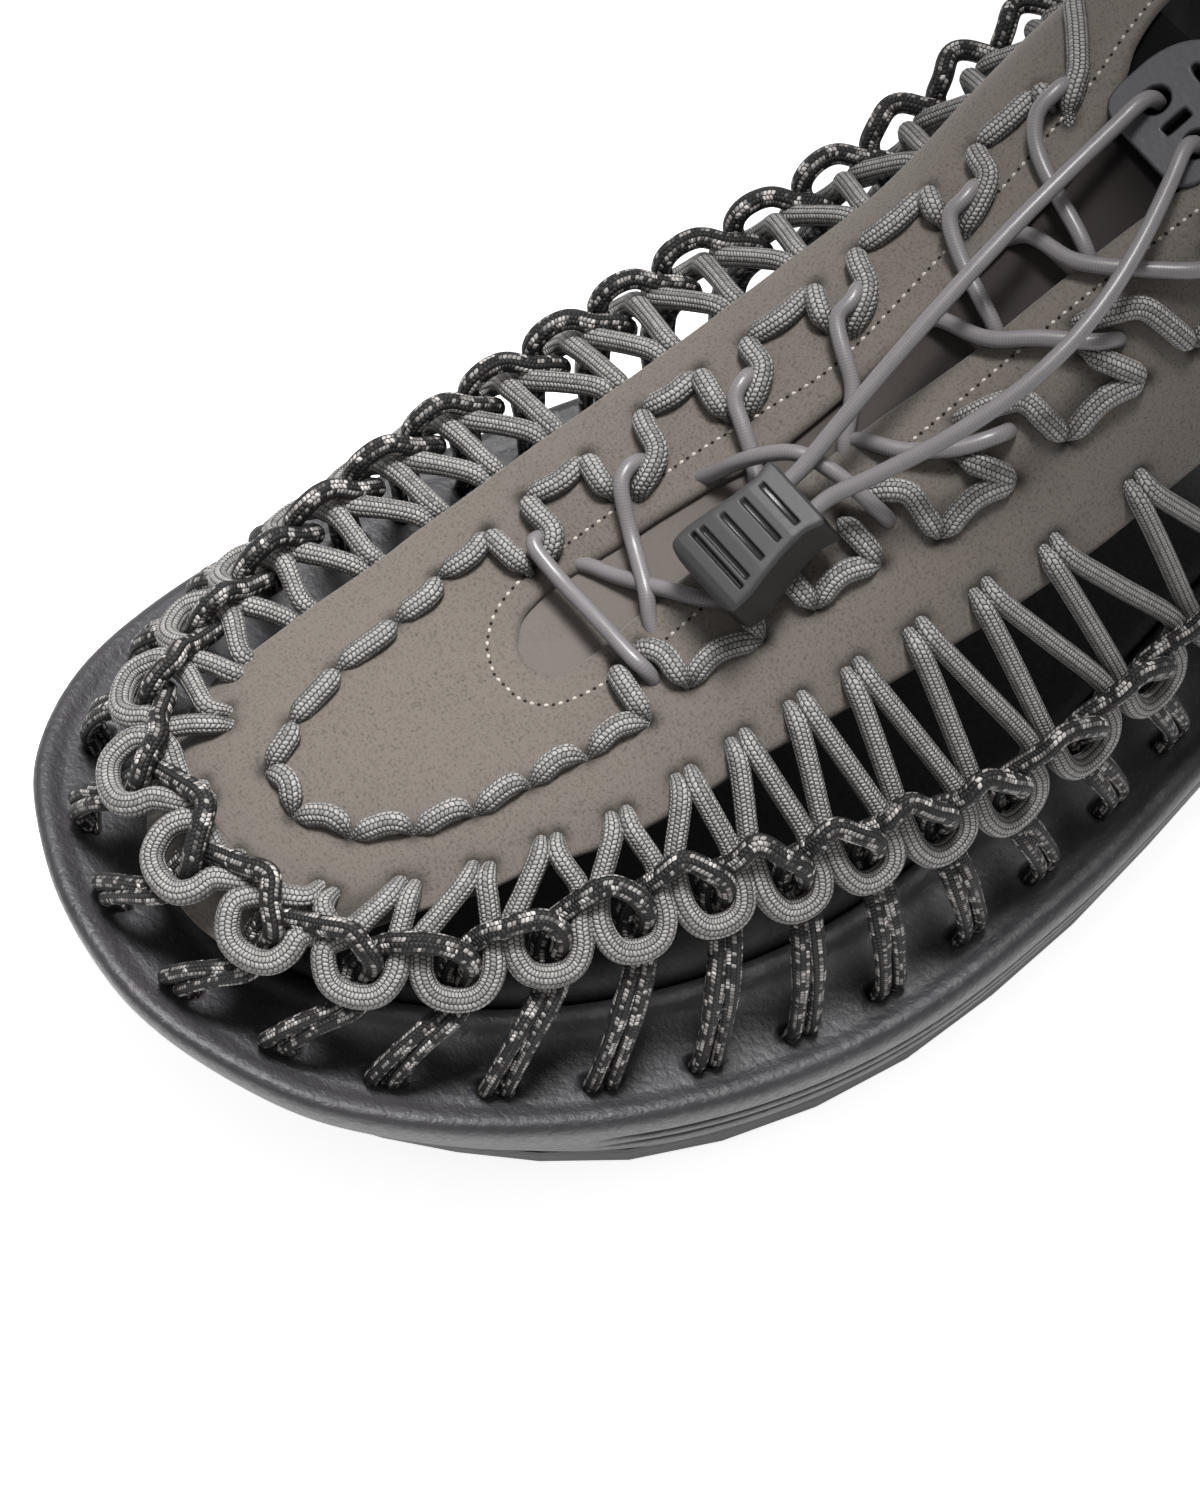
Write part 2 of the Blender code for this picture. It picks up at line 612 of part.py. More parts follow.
def build_sole(parts, cutters):
    outsole = sole_body("outsole", OUTSOLE_SECTION, bottom_lift, parts, "rubber_black")
    grooves = []
    for t in (0.07, 0.13, 0.19, 0.25, 0.50, 0.56, 0.62, 0.68, 0.74, 0.80, 0.86, 0.92):
        y = LENGTH / 2 - t * LENGTH
        slope = float(spring(y - 1.0) - spring(y + 1.0)) / 2.0
        along = np.array([0.0, 1.0, -slope])
        along /= np.linalg.norm(along)
        up = np.cross([1.0, 0.0, 0.0], along)
        centre = np.array([0.0, y, float(spring(y)) - 0.6])
        inner, outer = half_widths(t)
        inset = 8.0 + 5.0 * float(tuck_share(y))
        centre[0] = float(inner + outer) / 2
        size = (float(outer - inner) - 2 * inset, 4.2, LUG_HEIGHT * 2)
        grooves.append(box_points(centre, np.array([1.0, 0.0, 0.0]), along, up, size))
    lug_cutter = boxes_object("lug_cutter", grooves, cutters)
    as_cutter(lug_cutter)
    subtract(outsole, lug_cutter)
    channels = []
    for t in (0.10, 0.22, 0.53, 0.65, 0.71, 0.83, 0.89):
        y = LENGTH / 2 - t * LENGTH
        slope = float(spring(y - 1.0) - spring(y + 1.0)) / 2.0
        along = np.array([0.0, 1.0, -slope])
        along /= np.linalg.norm(along)
        up = np.cross([1.0, 0.0, 0.0], along)
        half = 0.34 * float(half_widths(t)[1] - half_widths(t)[0]) / 2
        for side in (-1, 1):
            centre = np.array([side * half, y, float(spring(y)) - 0.9])
            size = (3.6, 15.6, LUG_HEIGHT * 2)
            channels.append(box_points(centre, np.array([1.0, 0.0, 0.0]), along, up, size))
    channel_cutter = boxes_object("channel_cutter", channels, cutters)
    as_cutter(channel_cutter)
    subtract(outsole, channel_cutter)

    midsole = sole_body("midsole", MIDSOLE_SECTION, upper_lift, parts, "foam_charcoal")
    pockets = []
    for unit in unit_numbers():
        u = float(slot_u(unit))
        here = slot_point(u)
        along = foot_point(u + 2.0) - foot_point(u - 2.0)
        along /= np.linalg.norm(along)
        across = np.cross([0.0, 0.0, 1.0], along)
        across /= np.linalg.norm(across)
        up = np.cross(along, across)
        size = (CORD * 2 + 2.8, CORD_WALL + 3.6, SLOT_DEPTH * 2 + 2.4)
        pockets.append(box_points(here + up * 1.2, along, across, up, size))
    slot_cutter = boxes_object("slot_cutter", pockets, cutters)
    as_cutter(slot_cutter)
    subtract(midsole, slot_cutter)
    sole_body("insole", INSOLE_SECTION, upper_lift, parts, "footbed_black")


def wall_patch(name, us, low, high, rows, wall, lift, group, colour):
    us = np.asarray(us, float)
    share = np.linspace(0, 1, rows)[:, None]
    s = low[None, :] + (high - low)[None, :] * share
    u = np.broadcast_to(us[None, :], s.shape)
    points = on_last(u, s, np.full(s.shape, lift)).reshape(-1, 3)
    obj = mesh_object(name, points, grid_faces(rows, len(us)), group, colour)
    thicken(obj, wall)
    return obj


def build_upper(parts):
    side = np.linspace(60, VAMP_REAR, 15)
    us = np.concatenate([-side[::-1], np.linspace(-52, 52, 15), side])
    wall_patch("vamp", us, row_s("edge", us), np.ones_like(us), 6, VAMP_WALL, 0.0, parts, "suede_taupe")

    start = VAMP_REAR + FIT_GAP
    back = np.linspace(start, 2 * HALF_GIRTH - start, 21)
    us = np.where(back > HALF_GIRTH, back - 2 * HALF_GIRTH, back)
    low = np.full(len(us), 0.02)
    wall_patch("heel_counter", us, low, np.ones_like(us), 5, VAMP_WALL, 0.0, parts, "suede_taupe")

    outer = np.array([26.0, 42, 56, 68, 80, 92, 104, 118, 132, 146, 160, 174, 188, 200])
    across = []
    for u in outer:
        rim = [on_last(u, s, -VAMP_WALL - 0.5) for s in (0.86, 0.93, 0.99)]
        far = [on_last(-u, s, -VAMP_WALL - 0.5) for s in (0.99, 0.93, 0.86)]
        middle = (rim[-1] + far[0]) / 2 + np.array([0.0, 0.0, 0.6])
        across.append((rim + [middle] + far)[::-1])
    points = np.array(across).reshape(-1, 3)
    tongue = mesh_object("tongue", points, grid_faces(len(outer), 7), parts, "lining_grey")
    thicken(tongue, 1.6)


def mm_per_u(u, s):
    return float(np.linalg.norm(last_point(u + 1.0, s) - last_point(u - 1.0, s))) / 2


def mm_per_s(u, s):
    return float(np.linalg.norm(last_point(u, s + 0.02) - last_point(u, s - 0.02))) / 0.04


def build_web(parts):
    """Cord loops hung from the pairs of holes above the saddle's edge, joined where neighbours touch."""
    width = CORD - 0.2
    lift = CORD_WALL + FIT_GAP + 0.75
    rows = []
    faces = []
    units = unit_numbers()
    for number, unit in enumerate(units):
        ring_u = float(loop_u(unit))
        ring_s = float(row_s("ring", ring_u))
        top_u = float(pair_u(unit))
        top_s = float(row_s("pair", top_u))
        scale = mm_per_u(ring_u, ring_s)
        step = 1.0 / mm_per_s(ring_u, ring_s)
        left = min(4.3, (ring_u - float(loop_u(unit - 1))) * scale / 2 - width / 2 - 0.15) / scale
        right = min(4.3, (float(loop_u(unit + 1)) - ring_u) * scale / 2 - width / 2 - 0.15) / scale
        apart = 1.85 / mm_per_u(top_u, top_s)
        mid_s = (ring_s + top_s) / 2
        u = np.array([top_u - apart, (top_u - apart + ring_u - left) / 2, ring_u - left, ring_u - left,
                      ring_u - 0.62 * left, ring_u + 0.62 * right, ring_u + right, ring_u + right,
                      (top_u + apart + ring_u + right) / 2, top_u + apart])
        s = np.array([top_s, mid_s, ring_s + 2.0 * step, ring_s - 0.4 * step, ring_s - 4.0 * step,
                      ring_s - 4.0 * step, ring_s - 0.4 * step, ring_s + 2.0 * step, mid_s, top_s])
        base = 20 * number
        rows.append(strip_edges(on_last(u, s, np.full(10, lift)), last_normal(u, s), width))
        faces += [(base + 2 * i, base + 2 * i + 2, base + 2 * i + 3, base + 2 * i + 1) for i in range(9)]
        if number + 1 < len(units):
            after = base + 20
            faces.append((base + 12, after + 6, after + 4, base + 14))
    obj = mesh_object("web_cord", np.vstack(rows), faces, parts, "cord_grey")
    thicken(obj, CORD_WALL)


def build_anchor(parts):
    """Arches from loop to loop, with a double-width leg from each loop down into its slot."""
    outer_lift = 2 * CORD_WALL + 2 * FIT_GAP + 1.1
    points = []
    faces = []
    units = unit_numbers()
    for number, unit in enumerate(units):
        ring_u = float(loop_u(unit))
        ring_s = float(row_s("ring", ring_u))
        step = 1.0 / mm_per_s(ring_u, ring_s)
        half = CORD
        base = len(points)
        for rise in (0.0, CORD):
            for sign in (-1, 1):
                points.append(on_last(ring_u + sign * half, ring_s + rise * step, outer_lift))
        faces.append((base, base + 1, base + 3, base + 2))
        foot_u = float(slot_u(unit))
        leg = len(points)
        rows = ((0.66, outer_lift + 1.0), (0.30, outer_lift - 0.6), (0.10, outer_lift - 3.4))
        for share, lift in rows:
            for sign in (-1, 1):
                u = foot_u + (ring_u - foot_u) * share + sign * half
                points.append(on_last(u, max(ring_s * share, 0.01), lift))
        for sign in (-1, 1):
            foot = slot_point(foot_u + sign * half)
            away = last_normal(foot_u, 0.02) * np.array([1.0, 1.0, 0.0])
            away /= np.linalg.norm(away)
            points.append(foot + away * CORD_WALL / 2 + np.array([0.0, 0.0, -SLOT_DEPTH + 0.9]))
        faces.append((leg, leg + 1, base + 1, base))
        for r in range(3):
            a = leg + 2 * r
            faces.append((a + 2, a + 3, a + 1, a))
        if number + 1 < len(units):
            next_u = float(loop_u(unit + 1))
            next_s = float(row_s("ring", next_u))
            mid_u = (ring_u + next_u) / 2
            mid_s = (ring_s + next_s) / 2
            top = len(points)
            for rise in (3.4, 3.4 + CORD):
                for shift in (-1.6, 1.6):
                    points.append(on_last(mid_u + shift, mid_s + rise * step, outer_lift))
            faces.append((top, top + 1, top + 3, top + 2))
            faces.append((base + 1, top, top + 2, base + 3))
            after = len(points)
            faces.append((top + 1, after, after + 2, top + 3))
    obj = mesh_object("anchor_cord", points, faces, parts, "cord_black")
    thicken(obj, CORD_WALL)


def build_trim(parts):
    u = column(TRIM_PATH, "u")
    s = column(TRIM_PATH, "s")
    at = np.arange(len(u), dtype=float)
    fine = np.linspace(0, len(u) - 1, 2 * len(u) - 1)
    u = np.interp(fine, at, u)
    s = np.interp(fine, at, s)
    lift = np.full(len(u), 2.3)
    strip("trim_cord", (on_last(u, s, lift), last_normal(u, s)), CORD, 1.45, parts, "cord_grey")


def build_lacing(parts, cutters):
    hooks = {}
    for sign in (-1, 1):
        hooks[sign] = [on_last(sign * row["u"], 0.97, BUNGEE / 2 + 0.6) for row in LACE_ROWS]
    paths = []
    for first in (-1, 1):
        path = []
        sign = first
        for k in range(len(LACE_ROWS)):
            path.append(hooks[sign][k])
            sign = -sign
        fine = []
        for a, b in zip(path[:-1], path[1:]):
            fine += [a, a + (b - a) * 0.12, a + (b - a) * 0.88]
        fine.append(path[-1])
        paths.append(fine)
    first = tube("lace_crossings", paths[:1], BUNGEE, 6, parts, "bungee_lilac")
    second = tube("lace_second", paths[1:], BUNGEE, 6, cutters)
    as_cutter(second)
    join = first.modifiers.new("join", "BOOLEAN")
    join.operation = "UNION"
    join.solver = "EXACT"
    join.object = second

    lock_centre = np.array([11.2, -44.9, 77.6])
    slope = math.radians(23.0)
    along = np.array([-0.04, math.cos(slope), math.sin(slope)])
    along /= np.linalg.norm(along)
    across = np.cross(along, [0.0, 0.0, 1.0])
    across /= np.linalg.norm(across)
    up = np.cross(across, along)
    stations = (dict(at=-9.0, half=7.0, top=3.6), dict(at=-7.6, half=7.3, top=4.4),
                dict(at=6.8, half=5.7, top=4.6), dict(at=8.4, half=5.2, top=3.8))
    points = []
    for row in stations:
        for i, j in ((-1, -3.9), (1, -3.9), (1, row["top"]), (-1, row["top"])):
            points.append(lock_centre + along * row["at"] + across * row["half"] * i + up * j)
    faces = [(0, 1, 2, 3), (12, 15, 14, 13)]
    for r in range(3):
        for c in range(4):
            d = (c + 1) % 4
            faces.append((r * 4 + c, r * 4 + d, r * 4 + 4 + d, r * 4 + 4 + c))
    lock = mesh_object("cord_lock", points, faces, parts, "lock_black")
    face_outward(lock)
    edge = lock.modifiers.new("edge", "BEVEL")
    edge.width = 0.7 * MM
    edge.segments = 1
    edge.limit_method = "ANGLE"
    edge.angle_limit = math.radians(35)
    ribs = [box_points(lock_centre + along * at + up * 4.9, across, along, up, (8.6, 1.2, 1.8))
            for at in (-3.0, 0.0, 3.0, 6.0)]
    rib_cutter = boxes_object("rib_cutter", ribs, cutters)
    as_cutter(rib_cutter)
    subtract(lock, rib_cutter)

    plate_centre = np.array([0.8, 31.5, 102.2])
    tilt = math.radians(24.0)
    plate_along = np.array([0.0, math.cos(tilt), math.sin(tilt)])
    plate_up = np.array([0.0, -math.sin(tilt), math.cos(tilt)])
    plate_across = np.array([1.0, 0.0, 0.0])
    outline = []
    for k in range(20):
        turn = 2 * math.pi * k / 20
        x = 9.2 * math.copysign(abs(math.cos(turn)) ** 0.6, math.cos(turn))
        y = 10.5 * math.copysign(abs(math.sin(turn)) ** 0.6, math.sin(turn))
        outline.append((x, y))
    points = []
    for h in (-1.1, 1.1):
        points += [plate_centre + plate_across * x + plate_along * y + plate_up * h for x, y in outline]
    faces = [tuple(range(20))[::-1], tuple(range(20, 40))]
    faces += [(k, (k + 1) % 20, 20 + (k + 1) % 20, 20 + k) for k in range(20)]
    plate = mesh_object("lace_plate", points, faces, parts, "plate_slate")
    face_outward(plate)
    holes = []
    for x in (-5.4, 5.4):
        hole = plate_centre + plate_across * x + plate_along * -1.5
        holes.append([hole + plate_up * h for h in (-4.0, 0.0, 4.0)])
    hole_cutter = tube("hole_cutter", holes, BUNGEE + 0.8, 10, cutters)
    as_cutter(hole_cutter)
    subtract(plate, hole_cutter)

    runs = []
    for sign, bow in ((-1, 0.0), (1, 10.0)):
        out = lock_centre + across * sign * 2.8 + up * 0.8
        hole = plate_centre + plate_across * sign * 5.4 + plate_along * -1.5
        start = out + along * 10.8
        end = hole + plate_up * 3.6
        share = np.linspace(0, 1, 11)[:, None]
        swing = np.sin(np.pi * share)
        bowed = start + (end - start) * share + np.array([[bow, 0.0, 4.0]]) * swing
        runs.append(np.vstack([[out + along * 8.75], bowed, [hole - plate_up * 0.9]]))
    tube("lace_run_inner", runs[:1], BUNGEE, 6, parts, "bungee_lilac")
    tube("lace_run_outer", runs[1:], BUNGEE, 6, parts, "bungee_lilac")


def main():
    clear_scene()
    parts = new_collection("woven_sandal")
    cutters = new_collection("cutters")
    build_sole(parts, cutters)
    build_upper(parts)
    build_web(parts)
    build_anchor(parts)
    build_trim(parts)
    build_lacing(parts, cutters)


main()
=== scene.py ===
# %% [markdown]
# # A woven sandal, dressed
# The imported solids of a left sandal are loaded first, as a fixed frame in metres: toe to -Y, the
# wearer's outer side to +X, ground at z = 0. They have the size and the main forms, with plain
# surfaces. Each step below makes one real piece, of cord, suede, foam or plastic, as a surface worked
# out with numpy, and lets it take the place of its solid. Lengths are millimetres until a mesh is laid.

import bpy
import numpy as np
from mathutils import Matrix


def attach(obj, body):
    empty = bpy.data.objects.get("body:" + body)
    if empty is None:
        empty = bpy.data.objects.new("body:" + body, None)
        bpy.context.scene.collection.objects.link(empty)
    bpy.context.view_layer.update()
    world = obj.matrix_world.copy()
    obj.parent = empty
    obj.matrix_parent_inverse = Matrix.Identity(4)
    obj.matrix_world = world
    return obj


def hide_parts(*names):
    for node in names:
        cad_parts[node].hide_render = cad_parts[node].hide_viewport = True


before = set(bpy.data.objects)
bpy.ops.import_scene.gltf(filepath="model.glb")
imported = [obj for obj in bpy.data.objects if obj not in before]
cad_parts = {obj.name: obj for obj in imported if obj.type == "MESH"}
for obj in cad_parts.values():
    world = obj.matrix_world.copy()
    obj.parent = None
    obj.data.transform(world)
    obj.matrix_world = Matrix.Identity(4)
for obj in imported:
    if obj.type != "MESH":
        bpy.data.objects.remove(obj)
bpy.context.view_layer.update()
print("nodes:", sorted(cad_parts))

# %% [markdown]
# ## The last
# A shoe is built over a last, a wooden foot. It could be sculpted, but then every cord would have to
# be fitted to it by hand. Here the last is a formula, so any piece can ask it for a place and for the
# way out of the surface: u runs round the sole from the toe tip in millimetres, positive on the outer
# side, and s climbs from the slots in the sole (0) to the edge of the throat and collar (1). The solids
# were drawn over nearly the same tables, so a piece drawn here lands on its solid.

# %% Tables of the last
LENGTH = 290.4
TOE_SPRING = 20.3
HALF_GIRTH = 316.0
FLANGE_HEIGHT = 20.0
SLOT_INSET = 7.4
TIP_BACK = 1.7
UNITS = np.arange(-18, 14)

# Share of the length from the heel, half width on the inner side, half width on the outer side.
SOLE_PLAN = np.array([
    (0.00, 36.0, 40.0), (0.12, 36.5, 40.5), (0.25, 37.0, 41.5), (0.35, 38.0, 44.2), (0.46, 43.0, 51.6),
    (0.57, 50.2, 58.4), (0.66, 54.6, 60.8), (0.72, 56.2, 60.8), (1.00, 56.2, 60.8)])
# Share of the length, flare of the rim on the inner side.
INNER_RIM = np.array([
    (0.00, 0.0), (0.55, 0.0), (0.66, 0.8), (0.75, 1.4), (0.86, 1.6), (0.906, 1.8), (0.943, 1.2),
    (0.968, 0.4), (1.00, 0.0)])
# Place u without its sign, x on the outer and inner side, y on both, height of the throat and collar.
TOPLINE = np.array([
    (0, -1.5, -1.5, -81.5, -81.5, 58.0), (25, 3.0, -6.0, -80.5, -80.0, 58.0),
    (50, 7.5, -10.5, -76.5, -75.0, 58.5), (75, 9.3, -12.3, -68.0, -66.5, 60.5),
    (100, 9.0, -11.5, -55.0, -54.0, 65.5), (150, 9.0, -10.0, -12.0, -12.0, 83.0),
    (183, 10.5, -10.5, 19.0, 19.0, 97.0), (205, 14.0, -13.5, 42.0, 42.0, 104.5),
    (220, 23.0, -22.0, 58.0, 58.0, 98.0), (240, 30.5, -29.0, 76.0, 76.0, 81.0),
    (268, 31.5, -29.5, 102.0, 102.0, 75.0), (295, 21.0, -18.0, 122.5, 122.5, 82.0),
    (316, 1.5, 1.5, 129.5, 129.5, 86.0)])
# Place u, fullness of the foot's section there.
PROFILE = np.array([
    (-316, 2.0), (-200, 2.3), (-150, 2.3), (-60, 2.2), (0, 2.05), (60, 1.85), (150, 1.75), (316, 2.0)])
# Place u, and the heights s of the saddle's lower edge, the pairs of holes and the centres of the loops.
ROWS = np.array([
    (-230, 0.60, 0.63, 0.45), (-190, 0.64, 0.67, 0.45), (-160, 0.69, 0.72, 0.45),
    (-120, 0.722, 0.752, 0.465), (-90, 0.722, 0.752, 0.49), (-68, 0.712, 0.745, 0.49),
    (-45, 0.625, 0.70, 0.47), (-33, 0.52, 0.66, 0.43), (-20, 0.385, 0.57, 0.405), (-5, 0.285, 0.50, 0.415),
    (9, 0.28, 0.50, 0.412), (22, 0.40, 0.56, 0.412), (34, 0.54, 0.615, 0.42), (46, 0.605, 0.665, 0.44),
    (57, 0.65, 0.70, 0.48), (72, 0.66, 0.71, 0.495), (86, 0.667, 0.72, 0.485), (98, 0.67, 0.72, 0.44),
    (110, 0.655, 0.71, 0.41), (120, 0.635, 0.69, 0.37), (132, 0.605, 0.665, 0.315),
    (146, 0.57, 0.625, 0.295), (164, 0.53, 0.585, 0.27), (190, 0.50, 0.555, 0.25), (230, 0.56, 0.60, 0.25)])
# Number of the unit, and the places u of its loop, its pair of holes and its slot.
LOOPS = np.array([
    (-19, -216, -216, -219), (-17, -194, -194, -196.3), (-15, -172, -171.5, -173.8),
    (-14, -161, -160, -162.8), (-13, -150, -149, -151.8), (-12, -138.5, -138, -141),
    (-11, -128, -127, -130.5), (-10, -117, -117.8, -120.3), (-9, -105.5, -105.9, -110),
    (-8, -94.5, -94.1, -99.5), (-7, -82.5, -81.6, -88.5), (-6, -69.5, -66, -76),
    (-5, -57.5, -51.5, -63.3), (-4, -45.5, -36, -50), (-3, -32.5, -24, -36.5), (-2, -18, -11, -23),
    (-1, -1.2, 4, -9), (0, 14.7, 18.5, 7.9), (1, 30, 31, 23.6), (2, 44.3, 43.5, 38.1), (3, 58.3, 57, 53),
    (4, 72.3, 72, 67.2), (5, 85.8, 86.5, 82), (6, 98.2, 98, 96.1), (7, 109.5, 109, 110),
    (8, 120.8, 118.7, 124.4), (9, 132.5, 129, 138.7), (10, 146.3, 139.5, 153.4), (11, 160, 151, 167.3),
    (12, 175, 166, 181.6), (13, 190, 184, 196), (14, 206, 204, 210.4)])
print("loop units:", len(UNITS))


# %% Curves through the tables
def ease(x):
    """0 below 0, 1 above 1, and the smooth step three x squared less two x cubed between."""
    x = np.clip(x, 0, 1)
    return x * x * (3 - 2 * x)


def through(x, xs, ys):
    """Cubic Hermite curve through table values, with harmonic slopes so that it never overshoots."""
    step = np.diff(xs)
    rise = np.diff(ys) / step
    before = 2 * step[1:] + step[:-1]
    after = step[1:] + 2 * step[:-1]
    same = rise[:-1] * rise[1:] > 0
    safe = np.where(rise == 0, 1.0, rise)
    inside = np.where(same, (before + after) / (before / safe[:-1] + after / safe[1:]), 0.0)
    slope = np.concatenate([rise[:1], inside, rise[-1:]])
    x = np.clip(np.asarray(x, float), xs[0], xs[-1])
    i = np.clip(np.searchsorted(xs, x, side="right") - 1, 0, len(xs) - 2)
    h = step[i]
    f = (x - xs[i]) / h
    return (ys[i] * (1 + 2 * f) * (1 - f) ** 2 + slope[i] * h * f * (1 - f) ** 2
            + ys[i + 1] * f * f * (3 - 2 * f) + slope[i + 1] * h * f * f * (f - 1))


def look_up(table, column, x):
    """Value at x of the curve through a table's first column and another one."""
    return through(x, table[:, 0].astype(float), table[:, column].astype(float))


def round_end(f, power):
    """Quarter of a superellipse: 1 at f = 0, falling to 0 at f = 1."""
    return np.clip(1 - np.clip(f, 0, 1) ** power, 0, 1) ** (1 / power)


def run_along(path):
    """Distance of each point of a path from its first, summed over the straight lines between them."""
    return np.r_[0, np.cumsum(np.linalg.norm(np.diff(path, axis=0), axis=1))]


def pick(at, run, table):
    """Every column of a table at the given distances, on straight lines between its rows."""
    return np.stack([np.interp(at, run, column) for column in table.T], 1)


# %% Outline of the sole
def evenly(loop, count):
    """Points at equal lengths along a closed outline, on the straight lines between its own points."""
    closed = np.vstack([loop, loop[:1]])
    run = run_along(closed)
    return pick(np.linspace(0, run[-1], count, endpoint=False), run, closed)


def sole_loop(inset, count=1600, rim=None):
    """Plan outline moved inward by inset, from the toe tip round by the outer side.

    Half widths from the table are closed by superellipses at toe and heel, each point moves along its own
    inward normal, and a bell of 25 points smooths the result. The rim flares at the inner toe.
    """
    rim = np.clip((15.0 - inset) / 9.0, 0, 1) if rim is None else rim
    t = 0.5 + 0.5 * np.cos(np.linspace(0, np.pi, 801))
    heel = round_end((0.14 - t) / 0.14, 2.3)
    centre = -3.1 * np.clip((t - 0.69) / 0.31, 0, 1) ** 1.5
    inner = look_up(SOLE_PLAN, 1, t) * round_end((t - 0.72) / 0.28, 2.45) + rim * look_up(INNER_RIM, 1, t)
    inner = centre - inner * heel
    outer = centre + look_up(SOLE_PLAN, 2, t) * round_end((t - 0.66) / 0.34, 1.95) * heel
    y = LENGTH / 2 - t * LENGTH
    outer_y = y + rim * TIP_BACK * ease((t - 0.945) / 0.045)
    inner_y = y + rim * TIP_BACK * ease((t - 0.958) / 0.034)
    loop = evenly(np.vstack([np.stack([outer, outer_y], 1), np.stack([inner, inner_y], 1)[-2:0:-1]]), 1600)
    along = np.roll(loop, -1, 0) - np.roll(loop, 1, 0)
    along /= np.hypot(*along.T)[:, None]
    loop = loop + np.stack([-along[:, 1], along[:, 0]], 1) * inset
    blend = np.hanning(27)[1:-1]
    wide = np.vstack([loop[-12:], loop, loop[:12]])
    loop = np.stack([np.convolve(wide[:, i], blend / blend.sum(), "valid") for i in (0, 1)], 1)
    loop = evenly(loop, 1600)
    loop = np.roll(loop, -int(np.argmin(loop[:, 1])), 0)
    return evenly(loop, count)


def spring(y):
    """Rise of the toe: none for two thirds of the length, then its 1.8th power up to the tip."""
    t = 0.5 - np.asarray(y, float) / LENGTH
    return TOE_SPRING * np.clip((t - 0.66) / 0.34, 0, 1) ** 1.8


def tuck_share(y):
    """Share of the draw-in under the toe: none at the ball, all at the tip, eased between."""
    return ease((0.5 - np.asarray(y, float) / LENGTH - 0.79) / 0.17)


SLOT_LINE = sole_loop(SLOT_INSET, rim=0.0)
SLOT_HEEL = int(np.argmax(SLOT_LINE[:, 1]))
SOLE_EDGE = sole_loop(0.0)
CENTRE = np.append((SOLE_EDGE.max(axis=0) + SOLE_EDGE.min(axis=0)) / 2, 0.0)
print("centre of the sole plan, mm:", np.round(CENTRE, 2))


# %% The last itself
def foot_point(u):
    """Slot line at u: the share of the half girth is the share of that half of the outline."""
    share = np.clip(np.abs(u) / HALF_GIRTH, 0, 1)
    count = len(SLOT_LINE)
    at = np.where(u >= 0, share * SLOT_HEEL, count - share * (count - SLOT_HEEL))
    index = np.arange(count + 1)
    x, y = (np.interp(at, index, np.r_[SLOT_LINE[:, i], SLOT_LINE[0, i]]) for i in (0, 1))
    return np.stack([x, y, FLANGE_HEIGHT + spring(y)], -1)


def top_point(u):
    """Throat and collar line at u: x, y and height from the table, each side from its own columns."""
    a = np.abs(u)
    x, y = (np.where(u >= 0, look_up(TOPLINE, c, a), look_up(TOPLINE, c + 1, a)) for c in (1, 3))
    return np.stack([x, y, look_up(TOPLINE, 5, a)], -1)


def last_point(u, s):
    """From slot line to topline along a superellipse whose power is the fullness of the foot there."""
    u, s = np.broadcast_arrays(np.asarray(u, float), np.asarray(s, float))
    foot = foot_point(u)
    top = top_point(u)
    power = look_up(PROFILE, 1, u)
    turn = np.pi / 2 * np.clip(s, 0, 1)
    inward = 1 - np.clip(np.cos(turn), 0, 1) ** (2 / power)
    upward = np.sin(turn) ** (2 / power)
    flat = foot[..., :2] + (top - foot)[..., :2] * inward[..., None]
    height = foot[..., 2] + (top - foot)[..., 2] * upward
    return np.concatenate([flat, height[..., None]], -1)


def unit_vector(v):
    """Vectors divided by their own lengths."""
    return v / np.linalg.norm(v, axis=-1)[..., None]


# %% Directions and distances on the last
def last_normal(u, s):
    """Way out of the last: the cross product of short steps along u and up s, made unit long."""
    u, s = np.broadcast_arrays(np.asarray(u, float), np.asarray(s, float))
    low = np.clip(s - 0.01, 0.02, 0.97)
    along = last_point(u + 1.0, low + 0.01) - last_point(u - 1.0, low + 0.01)
    up = last_point(u, low + 0.02) - last_point(u, low)
    return unit_vector(np.cross(along, up))


def lean(u, s):
    """How far the inner side swells below the ear, in millimetres: eased in and out along u and up s."""
    along = ease((-u - 156) / 40) * (1 - ease((-u - 212) / 34))
    return 4.8 * along * ease((s - 0.40) / 0.20) * (1 - ease((s - 0.72) / 0.20))


def skin(u, s, lift):
    """Point on the last raised by lift. Past s = 1 it runs on level over the throat, 1 mm per 0.01."""
    u, s, lift = np.broadcast_arrays(np.asarray(u, float), np.asarray(s, float), np.asarray(lift, float))
    held = np.minimum(s, 1.0)
    point = last_point(u, held) + last_normal(u, held) * (lift + lean(u, held))[..., None]
    level = unit_vector(top_point(u) - last_point(u, 0.97))
    return point + level * (np.clip(s - 1, 0, None) * 100)[..., None]


def mm_per_u(u, s):
    """Millimetres in one step of u: half the chord over two steps."""
    return np.linalg.norm(last_point(u + 1.0, s) - last_point(u - 1.0, s), axis=-1) / 2


def mm_per_s(u, s):
    """Millimetres in the whole of s at the rate found there: a short chord divided by its share of s."""
    return np.linalg.norm(last_point(u, s + 0.02) - last_point(u, s - 0.02), axis=-1) / 0.04


print("height of the throat at the instep, mm:", round(float(top_point(np.array(183.0))[2]), 1))


# %% [markdown]
# ## Meshes from arrays
# A surface is a grid of points. Faces could be drawn by hand in edit mode, but a grid's quads, and the
# pattern coordinates of their corners, follow from its size alone, so they are worked out as whole
# arrays. Several grids may be joined into one piece. A closed piece whose volume comes out negative was
# drawn inside out, and its faces are turned.

